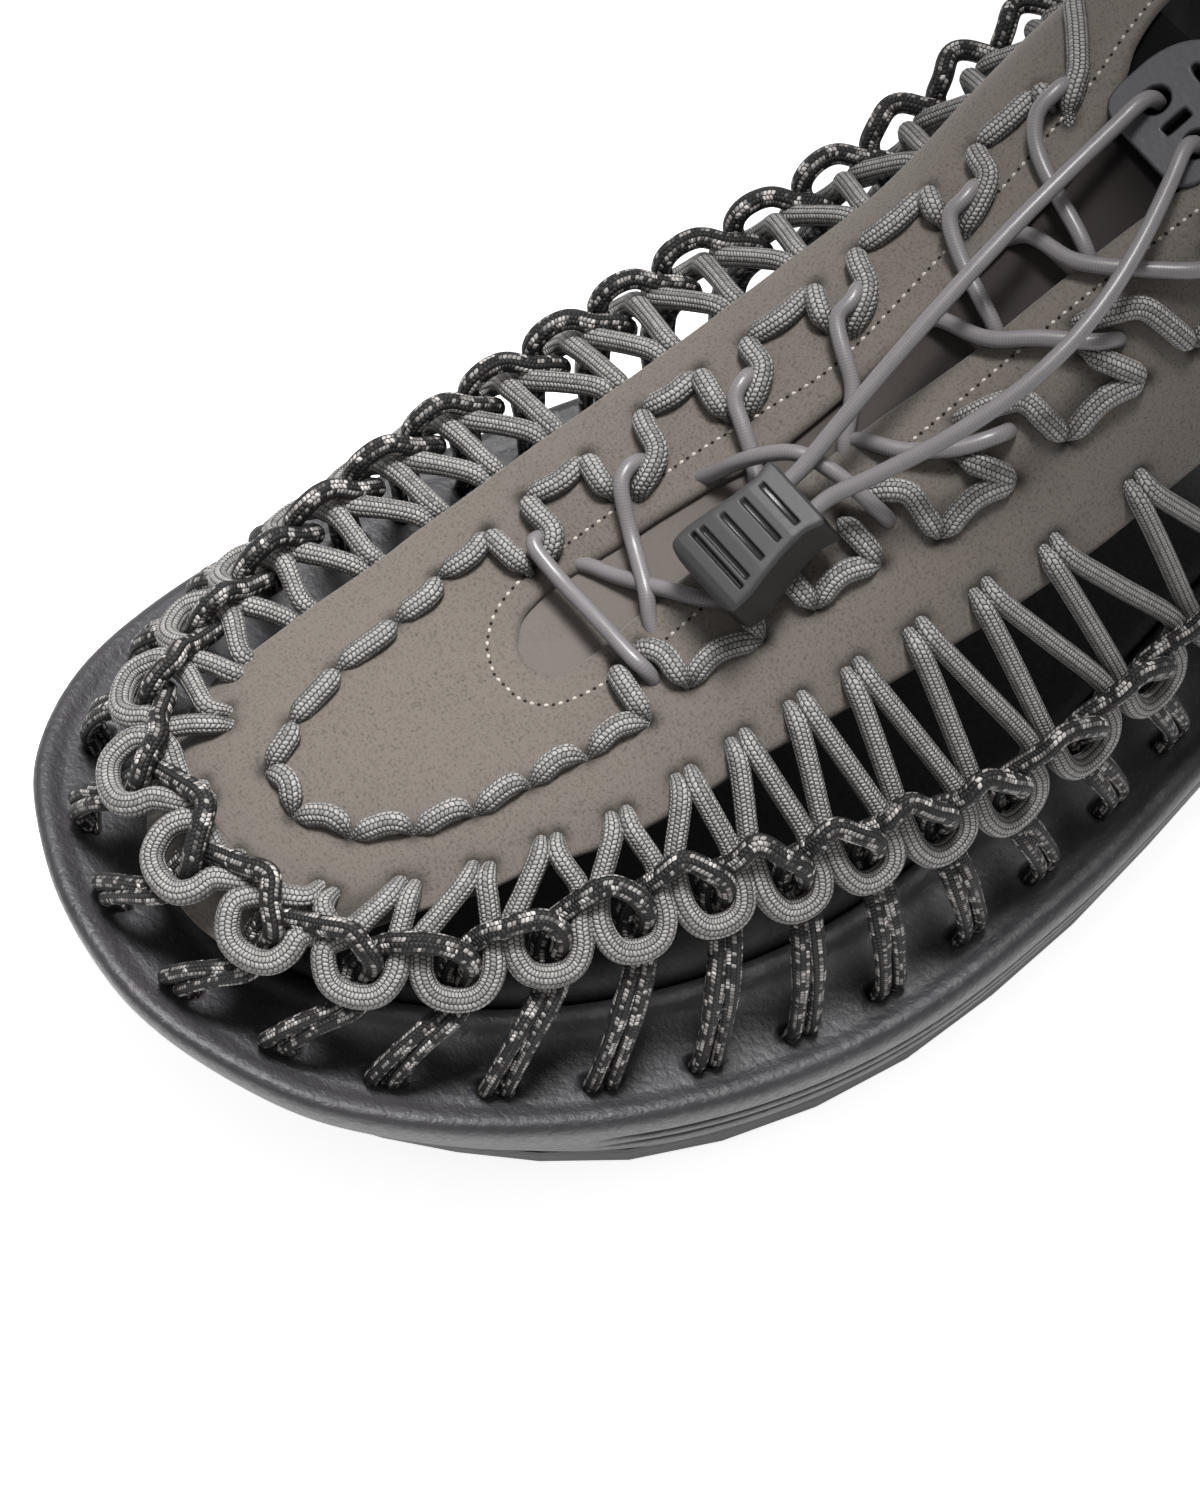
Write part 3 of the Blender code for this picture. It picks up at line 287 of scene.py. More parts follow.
# %% Grids to pieces
def quads_of(rows, columns):
    """Corner numbers of a grid's quads, row times columns plus column, and each corner's row and column.

    The remainder after division by the number of columns joins the last column to the first.
    """
    r, c = np.meshgrid(np.arange(rows - 1), np.arange(columns), indexing="ij")
    d = (c + 1) % columns
    quads = np.stack([r * columns + c, r * columns + d, (r + 1) * columns + d, (r + 1) * columns + c], -1)
    row = np.stack([r, r, r + 1, r + 1], -1)
    column = np.stack([c, c + 1, c + 1, c], -1)
    return quads.reshape(-1, 4), row.reshape(-1, 4), column.reshape(-1, 4)


def lay(name, grids, finish, replaces=(), marks=None, uv=None):
    """Join grids of millimetre points into one smooth piece that rides with the sandal.

    The sum of the corners' triple products is six times a grid's volume; below nought, its faces look in.
    """
    points, quads, maps = [], [], []
    base = 0
    for number, grid in enumerate(grids):
        rows, columns = grid.shape[:2]
        q, r, c = quads_of(rows, columns)
        flat = grid.reshape(-1, 3)
        first, second, third, fourth = (flat[q[:, corner]] for corner in range(4))
        volume = np.sum(np.cross(first, second) * third) + np.sum(np.cross(first, third) * fourth)
        along = uv[number] if uv else np.arange(rows, dtype=float)
        m = np.stack([c / columns, along[r]], -1)
        if volume < 0:
            q, m = q[:, ::-1], m[:, ::-1]
        points.append(flat)
        quads.append(q + base)
        maps.append(m.reshape(-1, 2))
        base += len(flat)
    mesh = bpy.data.meshes.new(name)
    placed = (np.vstack(points) - CENTRE) * 0.001
    mesh.from_pydata(placed.tolist(), [], np.vstack(quads).tolist())
    mesh.uv_layers.new(name="UVMap").data.foreach_set("uv", np.vstack(maps).ravel())
    for key, values in (marks or {}).items():
        layer = mesh.attributes.new(key, "FLOAT", "POINT")
        layer.data.foreach_set("value", np.concatenate([v.ravel() for v in values]))
    mesh.shade_smooth()
    return seat(name, mesh, finish, replaces)


def put(name, data):
    """A new object with this data, linked to the scene."""
    made = bpy.data.objects.new(name, data)
    bpy.context.scene.collection.objects.link(made)
    return made


def seat(name, mesh, finish, replaces=()):
    """Put a mesh into the scene: its finish, the body it rides on and the solids it replaces."""
    mesh.materials.append(finish)
    piece = put(name, mesh)
    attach(piece, "root")
    if replaces:
        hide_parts(*replaces)
    print(name, len(mesh.polygons), "faces")
    return piece


# %% [markdown]
# ## Cords as tubes
# Every cord is a circle carried along a path. Blender's curve bevel could do that, but it gives no
# pattern coordinates in millimetres and no squeeze where a cord goes through a hole. So a smooth path
# is run through a few points, cut at even distances, and a ring is set round each of its points.

# %% Path and tube
def flowing(points, spacing, soften=0.0):
    """Catmull-Rom curve through the points, cut at even distances, then averaged over soften mm."""
    p = np.asarray(points, float)
    wide = np.vstack([2 * p[0] - p[1], p, 2 * p[-1] - p[-2]])
    t = np.linspace(0, 1, 16, endpoint=False)[None, :, None]
    a, b, c, d = (wide[i:len(wide) - 3 + i, None] for i in range(4))
    curve = 0.5 * (2 * b + (c - a) * t + (2 * a - 5 * b + 4 * c - d) * t ** 2
                   + (3 * b - a - 3 * c + d) * t ** 3)
    curve = np.vstack([curve.reshape(-1, 3), p[-1:]])
    run = run_along(curve)
    curve = pick(np.linspace(0, run[-1], max(int(run[-1] / spacing), 4) + 1), run, curve)
    half = int(soften / spacing)
    if half:
        window = np.hanning(2 * half + 3)[1:-1]
        window /= window.sum()
        padded = np.vstack([np.repeat(curve[:1], half, 0), curve, np.repeat(curve[-1:], half, 0)])
        curve = np.stack([np.convolve(padded[:, i], window, "valid") for i in range(3)], 1)
    return curve


def tube(path, radius, sides=14):
    """A circle carried along the path in a frame that never twists, closed to a round tip at both ends.

    Each frame is the one before it with its side laid square to the new direction, so frames are found in
    turn; the rings, side times cosine plus other side times sine, are one array.
    """
    radius = np.broadcast_to(radius, len(path))
    ahead = unit_vector(np.gradient(path, axis=0))
    side = np.zeros_like(path)
    start = np.cross(ahead[0], [0.3, 0.2, 0.93])
    side[0] = start / np.linalg.norm(start)
    for i in range(1, len(path)):
        kept = side[i - 1] - ahead[i] * np.dot(side[i - 1], ahead[i])
        side[i] = kept / np.linalg.norm(kept)
    other = np.cross(ahead, side)
    turn = 2 * np.pi * np.arange(sides) / sides
    ring = side[:, None] * np.cos(turn)[None, :, None] + other[:, None] * np.sin(turn)[None, :, None]
    size = radius.copy()
    size[[0, -1]] *= 0.02
    size[[1, -2]] *= 0.75
    return path[:, None] + ring * size[:, None, None], run_along(path)


# %% [markdown]
# ## Finishes as sums
# A finish is a small formula: so much light yarn here, so much dark gap there. It could be wired up in
# the node editor, where the formula is hard to see. Shade wraps the output of a node, and plain
# arithmetic on it adds the Math nodes, so the formula can be read as one. Every other node comes from
# one method that names its kind, its settings and its sockets.

# %% Shader arithmetic
class Shade:
    """A node's output. Adding, taking away, multiplying and raising it each add one Math node."""

    def __init__(self, finish, socket):
        self.finish = finish
        self.socket = socket

    def maths(self, operation, *others):
        """One Math node on this value and the others after it."""
        return self.finish.node("Math", {"operation": operation}, dict(enumerate((self,) + others)))

    def __add__(self, other):
        return self.maths("ADD", other)

    def __mul__(self, other):
        return self.maths("MULTIPLY", other)

    def __sub__(self, other):
        return self.maths("SUBTRACT", other)

    def __rsub__(self, other):
        return self.finish.node("Math", {"operation": "SUBTRACT"}, {0: other, 1: self})

    def __pow__(self, other):
        return self.maths("POWER", other)

    __radd__ = __add__
    __rmul__ = __mul__

    def sine(self):
        """Sine of the value in radians."""
        return self.maths("SINE")

    def part(self):
        """What is left of the value when its whole number is taken off."""
        return self.maths("FRACT")

    def rise(self, low, high):
        """0 below low, 1 above high, eased between."""
        settings = {"interpolation_type": "SMOOTHSTEP"}
        return self.finish.node("MapRange", settings, {0: self, 1: low, 2: high, 3: 0.0, 4: 1.0})


# %% Nodes of a finish
class Finish:
    """A material in the making: its nodes, its shader, and the ways to add to them."""

    def __init__(self, name):
        self.material = bpy.data.materials.new(name)
        self.material.use_nodes = True
        self.tree = self.material.node_tree
        self.shader = self.tree.nodes["Principled BSDF"]

    def node(self, kind, settings=(), sockets=(), out=0):
        """Add a node: its settings first, then the values or links of its sockets; give one output."""
        made = self.tree.nodes.new("ShaderNode" + kind)
        for key, value in dict(settings).items():
            setattr(made, key, value)
        for key, value in dict(sockets).items():
            self.feed(made.inputs[key], value)
        return Shade(self, made.outputs[out])

    def feed(self, socket, value):
        """Link a shade to a socket, or write a plain value on it."""
        if isinstance(value, Shade):
            self.tree.links.new(value.socket, socket)
        else:
            socket.default_value = value

    def blend(self, share, low, high):
        """A colour between two: low where share is 0, high where it is 1, in proportion between."""
        pair = [tuple(c) + (1.0,) if isinstance(c, tuple) and len(c) == 3 else c for c in (low, high)]
        return self.node("Mix", {"data_type": "RGBA"}, {0: share, 6: pair[0], 7: pair[1]}, 2)

    def object_place(self):
        """Place on the piece in metres."""
        return self.node("TexCoord", out=3)

    def grain(self, scale, detail=2.0, rough=0.5):
        """Noise from 0 to 1, scale waves to the metre, with detail octaves, each rough times the last."""
        sockets = {"Vector": self.object_place(), "Scale": scale, "Detail": detail, "Roughness": rough}
        return self.node("TexNoise", {}, sockets)

    def mark(self, name):
        """The value that lay wrote on the mesh's points under this name."""
        return self.node("Attribute", {"attribute_name": name}, out=2)

    def pattern_place(self):
        """Share of the way round a piece, and the distance along it in millimetres."""
        apart = self.node("SeparateXYZ", {}, {0: self.node("UVMap", {"uv_map": "UVMap"})})
        return apart, Shade(self, apart.socket.node.outputs[1])

    def relief(self, height, strength, depth):
        """A normal tilted by the slope of a height whose whole range is depth, in metres."""
        return self.node("Bump", {}, {"Height": height, "Strength": strength, "Distance": depth})

    def coat(self, **sockets):
        """Fill the shader's own sockets and give the finished material."""
        for key, value in sockets.items():
            self.feed(self.shader.inputs[key.replace("_", " ")], value)
        return self.material


# %% Mottled finish
def mottled(name, low, high, grain, bump=None, **sockets):
    """Two colours mixed by a fine noise, which is also the relief where a bump is given."""
    f = Finish(name)
    noise = f.grain(*grain)
    if bump:
        sockets["Normal"] = f.relief(noise, *bump)
    return f.coat(Base_Color=f.blend(noise, low, high), **sockets)


# %% [markdown]
# ## Braided cord
# Round polyester cord has a cover braided from many thin ends, which shows as columns of small beads.
# Modelling each end would take millions of faces, and a picture of a braid would not follow the cord.
# So the braid is a formula on the cord's own pattern coordinates, the share of the way round and the
# millimetres along. A scattered number for each bead makes some paler, as yarn is. The black cord holds
# pale tracer ends: every other column is dotted, and now and then a block of beads is pale.

# %% Cord finishes
def braided(name, deep, pale, fleck=None):
    """Twelve columns of beads round the cord, each column half a bead out of step with the next.

    A bead's height is the product of two parabolas, one across its column and one along it. Its number
    and its column give a scattered value, the fraction of a large sine, which shades it, and every fourth
    column is darker. With a fleck colour, every other column has a pale dot where the scattered value is
    high, and every other pair of columns has blocks of pale beads where two slow waves add up.
    """
    f = Finish(name)
    x, y = f.pattern_place()
    around = x * 12.0
    column = around.maths("FLOOR")
    beside = around.part() - 0.5
    lean_to = (column * 0.5).part() * 4.0 - 1.0
    along = y * 1.75 + column * 0.5 + lean_to * beside * 0.30
    bead = (1.0 - (beside * 2.0) ** 2.0) * (1.0 - ((along.part() - 0.5) * 2.0) ** 2.0)
    chance = ((along.maths("FLOOR") * 12.99 + column * 78.23).sine() * 437.58).part()
    stripe = (column * 0.25).part().rise(0.6, 0.7)
    thread = f.blend(chance * 0.45 + stripe * 0.4, pale, tuple(0.35 * c for c in pale))
    if fleck:
        row = (column * 0.5).part().rise(0.2, 0.3)
        thread = f.blend(row * chance.rise(0.25, 0.9) * 0.9, thread, tuple(0.6 * c for c in fleck))
        pair = (column * 0.5).maths("FLOOR")
        chosen = 1.0 - (pair * 0.5).part().rise(0.2, 0.3)
        wave = (y * 1.55 + pair * 2.4).sine() + (y * 0.37 + pair * 1.3).sine() * 0.5
        wave = wave + (chance - 0.5) * 0.9
        thread = f.blend(chosen * wave.rise(0.35, 0.75) * (chance * 0.7 + 0.3), thread, fleck)
    # The deep colour fills the gaps between beads: painted shade between the yarns.
    colour = f.blend(bead.rise(0.03, 0.5), deep, thread)
    normal = f.relief(bead, 0.8, 0.00022)
    return f.coat(Base_Color=colour, Roughness=0.6, Specular_IOR_Level=0.25, Normal=normal)


# Each braid's first colour is the painted shade in the gaps between its beads.
grey_braid = braided("grey_braid", (0.014, 0.013, 0.013), (0.300, 0.290, 0.280))
black_braid = braided("black_braid", (0.002, 0.002, 0.002), (0.018, 0.017, 0.017), (0.46, 0.43, 0.41))
print("cord finishes:", grey_braid.name, black_braid.name)


# %% [markdown]
# ## Cord loops
# A grey cord leaves a hole just above the edge of the suede saddle, runs down, turns in a round loop
# and climbs back to the hole beside it, so each unit is a drop hung from a pair of holes. Between pairs
# it runs along the inside. Thirty-two curves drawn by hand would never match, so one drop is described
# in millimetres, in a frame that stands on a loop's centre: across, up along the last, and out of it.
# Each of its points is worked out for all units at once.

# %% Where each unit stands
def edge_s(u):
    """Height s of the saddle's lower edge at u, from the table of rows."""
    return look_up(ROWS, 1, u)


# Place u, and how far the loops stand off the last there.
LIFT = np.array([
    (-230, 4.4), (-195, 4.6), (-168, 2.6), (-90, 2.0), (-60, 1.8), (-36, 2.6), (-12, 3.4), (24, 3.2),
    (46, 2.5), (80, 2.3), (230, 2.3)])
loop_u, pair_u, slot_at = (look_up(LOOPS, column, UNITS) for column in (1, 2, 3))
loop_s = look_up(ROWS, 3, loop_u)
pair_s = look_up(ROWS, 2, pair_u)
lift = look_up(LIFT, 1, loop_u)
loop_at = last_point(loop_u, loop_s)
loop_out = last_normal(loop_u, loop_s)
loop_across = last_point(loop_u + 1, loop_s) - last_point(loop_u - 1, loop_s)
loop_across = unit_vector(loop_across - loop_out * np.sum(loop_across * loop_out, -1)[:, None])
loop_up = np.cross(loop_out, loop_across)
reach = np.linalg.norm(np.diff(loop_at, axis=0), axis=1)
gap_left = np.r_[reach[:1], reach] / 2
gap_right = np.r_[reach, reach[-1:]] / 2
WIDEST, SHARED = 4.9, 1.35
room_left = np.minimum(WIDEST, gap_left - SHARED)
room_right = np.minimum(WIDEST, gap_right - SHARED)
print("loop pitch, mm:", np.round(reach, 1))


def by_loop(across, up, out):
    """Points beside every loop's centre: the centre plus so many millimetres in each of its directions."""
    return loop_at + (loop_across * np.broadcast_to(across, len(UNITS))[:, None]
                      + loop_up * np.broadcast_to(up, len(UNITS))[:, None]
                      + loop_out * np.broadcast_to(out, len(UNITS))[:, None])


# %% Where neighbours meet
# Number of the unit, and how far along and above the loops it meets the next one.
MEET = np.array([
    (-20, 1.0, 4.6), (-9, 1.0, 3.8), (-6, 1.8, 4.0), (-5, 4.0, 4.2), (-4, 3.6, 4.0), (-2, 2.6, 3.4),
    (-1, 3.0, 3.2), (0, 2.3, 3.0), (1, -1.6, 3.4), (2, -1.4, 4.4), (3, 0.0, 5.4), (4, 0.0, 5.6),
    (14, 0.0, 5.6)])
side_by = np.r_[UNITS[0] - 1, UNITS]
rise = look_up(MEET, 2, side_by)
meet_u = look_up(LOOPS, 1, side_by + 0.5) + look_up(MEET, 1, side_by)
meet_s = look_up(ROWS, 3, meet_u) + rise / mm_per_s(meet_u, look_up(ROWS, 3, meet_u))
meet_lift = look_up(LIFT, 1, meet_u)
meet_along = unit_vector(last_point(meet_u + 1, meet_s) - last_point(meet_u - 1, meet_s))
print("neighbours meet above the loops, mm:", np.round([rise.min(), rise.max()], 1))


def by_meet(place, along, out, up=0.0):
    """Points by the meeting place left (0) or right (1) of every unit.

    It is the place on the last, raised by out, plus so many millimetres along the web and up the last.
    """
    part = slice(place, place + len(UNITS))
    upward = np.cross(last_normal(meet_u[part], meet_s[part]), meet_along[part])
    raised = upward * np.broadcast_to(up, len(UNITS))[:, None]
    return skin(meet_u[part], meet_s[part], meet_lift[part] + out) + meet_along[part] * along + raised


# %% The grey loops
CORD = 1.5
HOLE_APART = 1.15
top_scale = mm_per_u(pair_u, pair_s)
rise_scale = mm_per_s(pair_u, pair_s)


def far_side(u):
    """1 along the inner side behind the toe, where the saddle's edge rolls in, 0 elsewhere."""
    return ease((-u - 24) / 28)


def hung_side(sign, room):
    """One side of every drop: out of its hole, straight down to where neighbours meet, round to the bottom.

    On the inner side the cord comes from under the rolled edge instead of out of a hole.
    """
    hole_u = pair_u + sign * HOLE_APART / top_scale
    away = far_side(pair_u)[:, None]
    brim = edge_s(hole_u)
    holed = [skin(hole_u, pair_s - 0.4 / rise_scale, -3.6), skin(hole_u, pair_s - 0.8 / rise_scale, -0.4),
             skin(hole_u, pair_s - 2.6 / rise_scale, 1.45)]
    under = [skin(hole_u, pair_s, -5.0), skin(hole_u, brim - 0.2 / rise_scale, -4.4),
             skin(hole_u, brim - 2.4 / rise_scale, -2.4)]
    top = [a * (1 - away) + b * away for a, b in zip(holed, under)]
    place = (1 + sign) // 2
    high = rise[place:place + len(UNITS)]
    meet = by_meet(place, -1.4 * sign, -0.7)
    return top + [
        0.55 * top[-1] + 0.45 * meet + loop_out * 0.25,
        meet,
        by_loop(sign * 1.0 * room, 0.34 * high, lift - 0.2),
        by_loop(sign * 0.98 * room, -1.2, lift + 0.1),
        by_loop(sign * 0.66 * room, -4.0, lift + 0.2),
    ]


def nearest(points, spots):
    """Distance from each point to the nearest of some spots."""
    return np.linalg.norm(points[..., None, :] - spots, axis=-1).min(axis=-1)


def squeezed(path, holes, radius, least, reach_of):
    """Radius along a path: a least share of it in a hole, eased to the whole at reach_of from all holes."""
    return radius * (least + (1 - least) * ease(nearest(path, holes.reshape(-1, 3)) / reach_of))


left_side = hung_side(-1, room_left)
right_side = hung_side(1, room_right)
bottom = [by_loop(0.0, -4.9, lift + 0.2)]
next_u = np.r_[pair_u[1:], pair_u[-1:] + 6]
between_u = (pair_u + next_u) / 2
inside = [skin(between_u, edge_s(between_u) + 0.02, -3.6 - 4.0 * far_side(between_u))]
drops = np.stack(left_side + bottom + right_side[::-1] + inside, 1).reshape(-1, 3)
web_path = flowing(drops[:-1], 0.55, 1.3)
hole_points = drops.reshape(len(UNITS), -1, 3)[:, [1, -3]]
fat = 1.0 + 0.17 * (1 - ease((nearest(web_path, by_loop(0.0, -1.0, lift)) - 4.5) / 4.0))
web_grid, web_run = tube(web_path, fat * squeezed(web_path, hole_points, CORD, 0.72, 2.4))
lay("loop_cord", [web_grid], grey_braid, ["web_cord"], uv=[web_run])
print("grey cord, mm:", round(float(web_run[-1])))

# %% [markdown]
# ## Chain cord
# A black cord comes up double out of each slot in the sole, passes behind its loop, comes through it,
# arches over the two grey sides where neighbours meet, and goes down through the next loop. Both ends of
# an arch cross inside the loop, so the one that arrives goes down on the far side. It is drawn as the
# loops are, as one path for all units, because only a true over and under looks right from every side.

# %% Legs of the chain
leg_s = np.maximum(loop_s * 0.5, 0.06)
leg_u = 0.5 * (slot_at + loop_u)


def in_slot(sign, out, down):
    """Points by each slot: a step along its line, out from it, and down from the flange."""
    away = unit_vector(last_normal(slot_at, np.full(len(UNITS), 0.03)) * np.array([1.0, 1.0, 0.0]))
    set_in = 1.8 * (1 - ease((np.abs(slot_at) - 14) / 24))
    return foot_point(slot_at + sign * 1.45) + away * (out - set_in)[:, None] - np.array([0.0, 0.0, down])


def leg(sign):
    """One strand of the double leg, from inside the slot up to the back of the loop."""
    bow = 1.0 + 0.4 * (sign > 0)
    return [
        in_slot(sign, 0.5, 4.4),
        in_slot(sign, 0.6, 0.8),
        0.5 * in_slot(sign, 0.9, -2.4) + 0.5 * skin(slot_at + sign * bow, 0.05, 1.8),
        skin(leg_u + sign * bow, leg_s, 2.0),
        by_loop(sign * 0.85, -6.8, lift - 2.2 + 0.5 * (sign > 0)),
        by_loop(sign * 1.0, -4.6, lift - 2.9),
    ]


print("legs lean by, mm:", np.round(loop_u - slot_at, 1))

# %% Arches of the chain
# Along the inner side the cord stands proud, on the outer side it dips, and at the toe it arches high.
proud = far_side(loop_u)
low_rise, high_rise = rise[:-1], rise[1:]
near = ease((loop_u + 44) / 22)
arch = 3.6 * np.exp(-((meet_u - 1.0) / 19.0) ** 2)
leave = leg(-1) + [
    by_loop(-1.2, -1.8, lift - 2.5),
    by_loop(-0.8, (0.30 - 0.28 * near) * high_rise, lift - 1.9),
    by_loop(0.6, (0.78 - 0.36 * near) * high_rise + 0.3 * arch[1:], lift - 0.7),
    by_meet(1, -2.2, 1.0 + 0.2 * near, -0.34 * (high_rise - 1.6) * near + 0.85 * arch[1:]),
    by_meet(1, -0.3, 2.6 + 0.6 * proud, -0.13 * (high_rise - 1.6) * near + arch[1:]),
]
arrive = [
    by_meet(0, 1.9, 2.9 + proud, 0.25 * near + 0.95 * arch[:-1]),
    by_loop(-0.9 + 0.3 * near, low_rise + 0.4 - 0.9 * near + 0.5 * arch[:-1], lift + 2.9 + 0.8 * proud),
    by_loop(1.3 + 0.2 * near, (0.62 - 0.22 * near) * low_rise, lift + 2.0 + 0.4 * proud + 0.4 * near),
    by_loop(1.5 + 0.2 * near, (0.10 - 0.20 * near) * low_rise, lift + 0.1 + 0.3 * near),
    by_loop(1.1, -2.6, lift - 2.0),
] + leg(1)[::-1]
leave = np.stack(leave, 1)
arrive = np.stack(arrive, 1)
turns = np.concatenate([arrive, leave], 1).reshape(-1, 3)
chain_path = flowing(turns[5:-5], 0.55, 2.3)
LEG, ARCH = 1.16, 1.52
to_slot = nearest(chain_path, foot_point(slot_at))
chain_grid, chain_run = tube(chain_path, LEG + (ARCH - LEG) * ease((to_slot - 9) / 8))
lay("chain_cord", [chain_grid], black_braid, ["anchor_cord"], uv=[chain_run])
print("black cord, mm:", round(float(chain_run[-1])))

# %% [markdown]
# ## Suede saddle
# The saddle is one sheet of microfibre suede over toe and instep, cut with a long throat. A sheet with a
# Solidify modifier would do, but its edges would be square. So its wall is drawn as a closed section
# carried along u: down the outside, round the lower edge, up the inside and round the throat's edge. It
# dips where a cord goes through, and a mark on its points paints shade into those holes; its cut edges
# get painted shade too.

# %% Holes and edges of the saddle
# Place u and height s of each hole round the toe, and of the five points of each unit beside the throat.
TOE_HOLES = np.array([
    (65, 0.85), (49, 0.82), (37, 0.76), (26, 0.70), (15, 0.65), (3, 0.62), (-9, 0.63), (-17, 0.70),
    (-29, 0.79), (-43, 0.87), (-61, 0.89)])
LACE_UNITS_INNER = np.array([
    (-79.0, 0.89, -71.5, 1.015, -78.0, 1.015, -87.0, 0.985, -90.5, 0.88),
    (-104.5, 0.89, -101.5, 1.0, -105.0, 1.02, -113.0, 0.99, -116.0, 0.88),
    (-126.0, 0.89, -124.0, 1.013, -126.5, 1.025, -132.5, 0.99, -133.5, 0.90),
    (-145.5, 0.90, -142.5, 1.005, -144.5, 1.03, -150.5, 1.0, -153.0, 0.89),
    (-165.5, 0.89, -163.5, 1.0, -164.5, 1.03, -172.0, 1.0, -173.5, 0.88),
    (-184.5, 0.87, -184.0, 0.96, -184.5, 1.01, -189.5, 0.94, -197.0, 0.74)])
LACE_UNITS_OUTER = np.array([
    (82.5, 0.85, 77.0, 1.015, 86.0, 1.015, 91.5, 0.94, 93.0, 0.86),
    (109.0, 0.84, 109.0, 0.95, 114.0, 0.95, 117.0, 0.89, 118.0, 0.82),
    (129.0, 0.80, 127.5, 0.93, 132.0, 0.94, 137.0, 0.87, 137.5, 0.76),
    (150.5, 0.74, 145.0, 0.86, 148.0, 0.92, 156.5, 0.86, 159.0, 0.73),
    (172.5, 0.71, 166.5, 0.85, 168.0, 0.91, 176.0, 0.84, 180.0, 0.69),
    (192.0, 0.70, 187.0, 0.84, 189.0, 0.90, 197.0, 0.82, 201.0, 0.69)])
# Place u, and the height s of the flap's edge along the throat.
FLAP = np.array([
    (-214, 0.93), (-204, 0.935), (-197, 0.975), (-190, 1.02), (-178, 1.055), (-155, 1.070), (-127, 1.080),
    (-114, 1.060), (-101, 1.050), (-52, 1.043), (-30, 1.050), (0, 1.052), (41, 1.050), (75, 1.045),
    (105, 1.035), (135, 1.030), (160, 1.010), (214, 1.01)])
VAMP_REAR = 214.0
SHEET = 1.8
HOLE = 1.1
cord_holes = np.vstack([
    skin(TOE_HOLES[:, 0], TOE_HOLES[:, 1], 0.0),
    skin(LACE_UNITS_INNER[:, [0, 2, 4, 8]], LACE_UNITS_INNER[:, [1, 3, 5, 9]], 0.0).reshape(-1, 3),
    skin(LACE_UNITS_OUTER[:, [0, 2, 4, 8]], LACE_UNITS_OUTER[:, [1, 3, 5, 9]], 0.0).reshape(-1, 3)])
pair_holes = np.vstack([
    skin(pair_u + side * HOLE_APART / top_scale, pair_s - 0.4 / rise_scale, 0.0)[far_side(pair_u) < 0.15]
    for side in (-1, 1)])
print("holes in the saddle:", len(cord_holes) + len(pair_holes))


# %% Section of a sheet
def wall_section(us, low, high, outer_rows, inner_rows, wall, bump):
    """Closed section of a sheet: outside from high to low, round the edge, inside back, round the top.

    Share runs from 1 to 0 and back between the edges, depth from 0 outside to 1 inside, and at both edges
    a half circle of the wall's thickness pokes past. A row on the middle of the wall shuts both ends.
    """
    out = np.linspace(1, 0, outer_rows)
    back = np.linspace(0, 1, inner_rows)
    turn = np.linspace(0, np.pi, 6)[1:-1]
    share = np.r_[out, np.zeros(4), back, np.ones(4)]
    inward = 0.5 - 0.5 * np.cos(turn)
    depth = np.r_[np.zeros(outer_rows), inward, np.ones(inner_rows), 1 - inward]
    poke = np.r_[np.zeros(outer_rows), -np.sin(turn), np.zeros(inner_rows), np.sin(turn)] * wall / 2
    s = low[:, None] + (high - low)[:, None] * share[None, :]
    s = s + poke[None, :] / np.maximum(mm_per_s(us, np.clip((low + high) / 2, 0.05, 0.95)), 1.0)[:, None]
    u = np.broadcast_to(us[:, None], s.shape)
    shut = skin(u[[0, -1]], s[[0, -1]], bump(u[[0, -1]], s[[0, -1]]) - wall / 2)
    grid = np.concatenate([shut[:1], skin(u, s, bump(u, s) - wall * depth[None, :]), shut[1:]])
    return grid, np.pad(u, ((1, 1), (0, 0)), mode="edge"), np.pad(s, ((1, 1), (0, 0)), mode="edge"), depth


def sheet_marks(depth, u):
    """Marks of a sheet: its cut edge, full in mid-wall, and its lining, full at the inside."""
    # The edge mark is where the suede paints shade on its cut edge.
    edge = np.clip(1 - np.abs(depth - 0.5) * 2, 0, 1) ** 0.5
    return edge * np.ones_like(u), ease((depth - 0.7) / 0.3) * np.ones_like(u)


def saddle_bump(u, s):
    """The toe edge tucks in behind the loops, and the edge along the inner side rolls in."""
    toe = 1 - ease((np.abs(u) - 22) / 18)
    over = s - edge_s(u)
    return -2.6 * toe * (1 - ease(over / 0.16)) - 3.4 * far_side(u) * (1 - ease(over / 0.06))


us = np.linspace(-VAMP_REAR, VAMP_REAR, 470)
flap = look_up(FLAP, 1, us)
saddle, saddle_u, saddle_s, saddle_depth = wall_section(us, edge_s(us), flap, 74, 20, SHEET, saddle_bump)
# hole sets both the real dip round each cord and the painted shade in that hole.
hole = np.exp(-(np.minimum(nearest(saddle, cord_holes), nearest(saddle, pair_holes)) / HOLE) ** 2)
dip = hole * 0.7 * (saddle_depth < 0.5)
saddle = saddle - last_normal(saddle_u, np.minimum(saddle_s, 1.0)) * dip[..., None]
edge, lining = sheet_marks(saddle_depth, saddle_u)
print("saddle grid:", saddle.shape[:2])


# %% [markdown]
# Suede has no gloss and a fine nap that lies this way and that, so its colour is mottled at two sizes.
# A little sheen gives the pale bloom that fibres have where the surface turns away. Blender's hair could
# make real fibres, but at this distance they would cost much and show little.

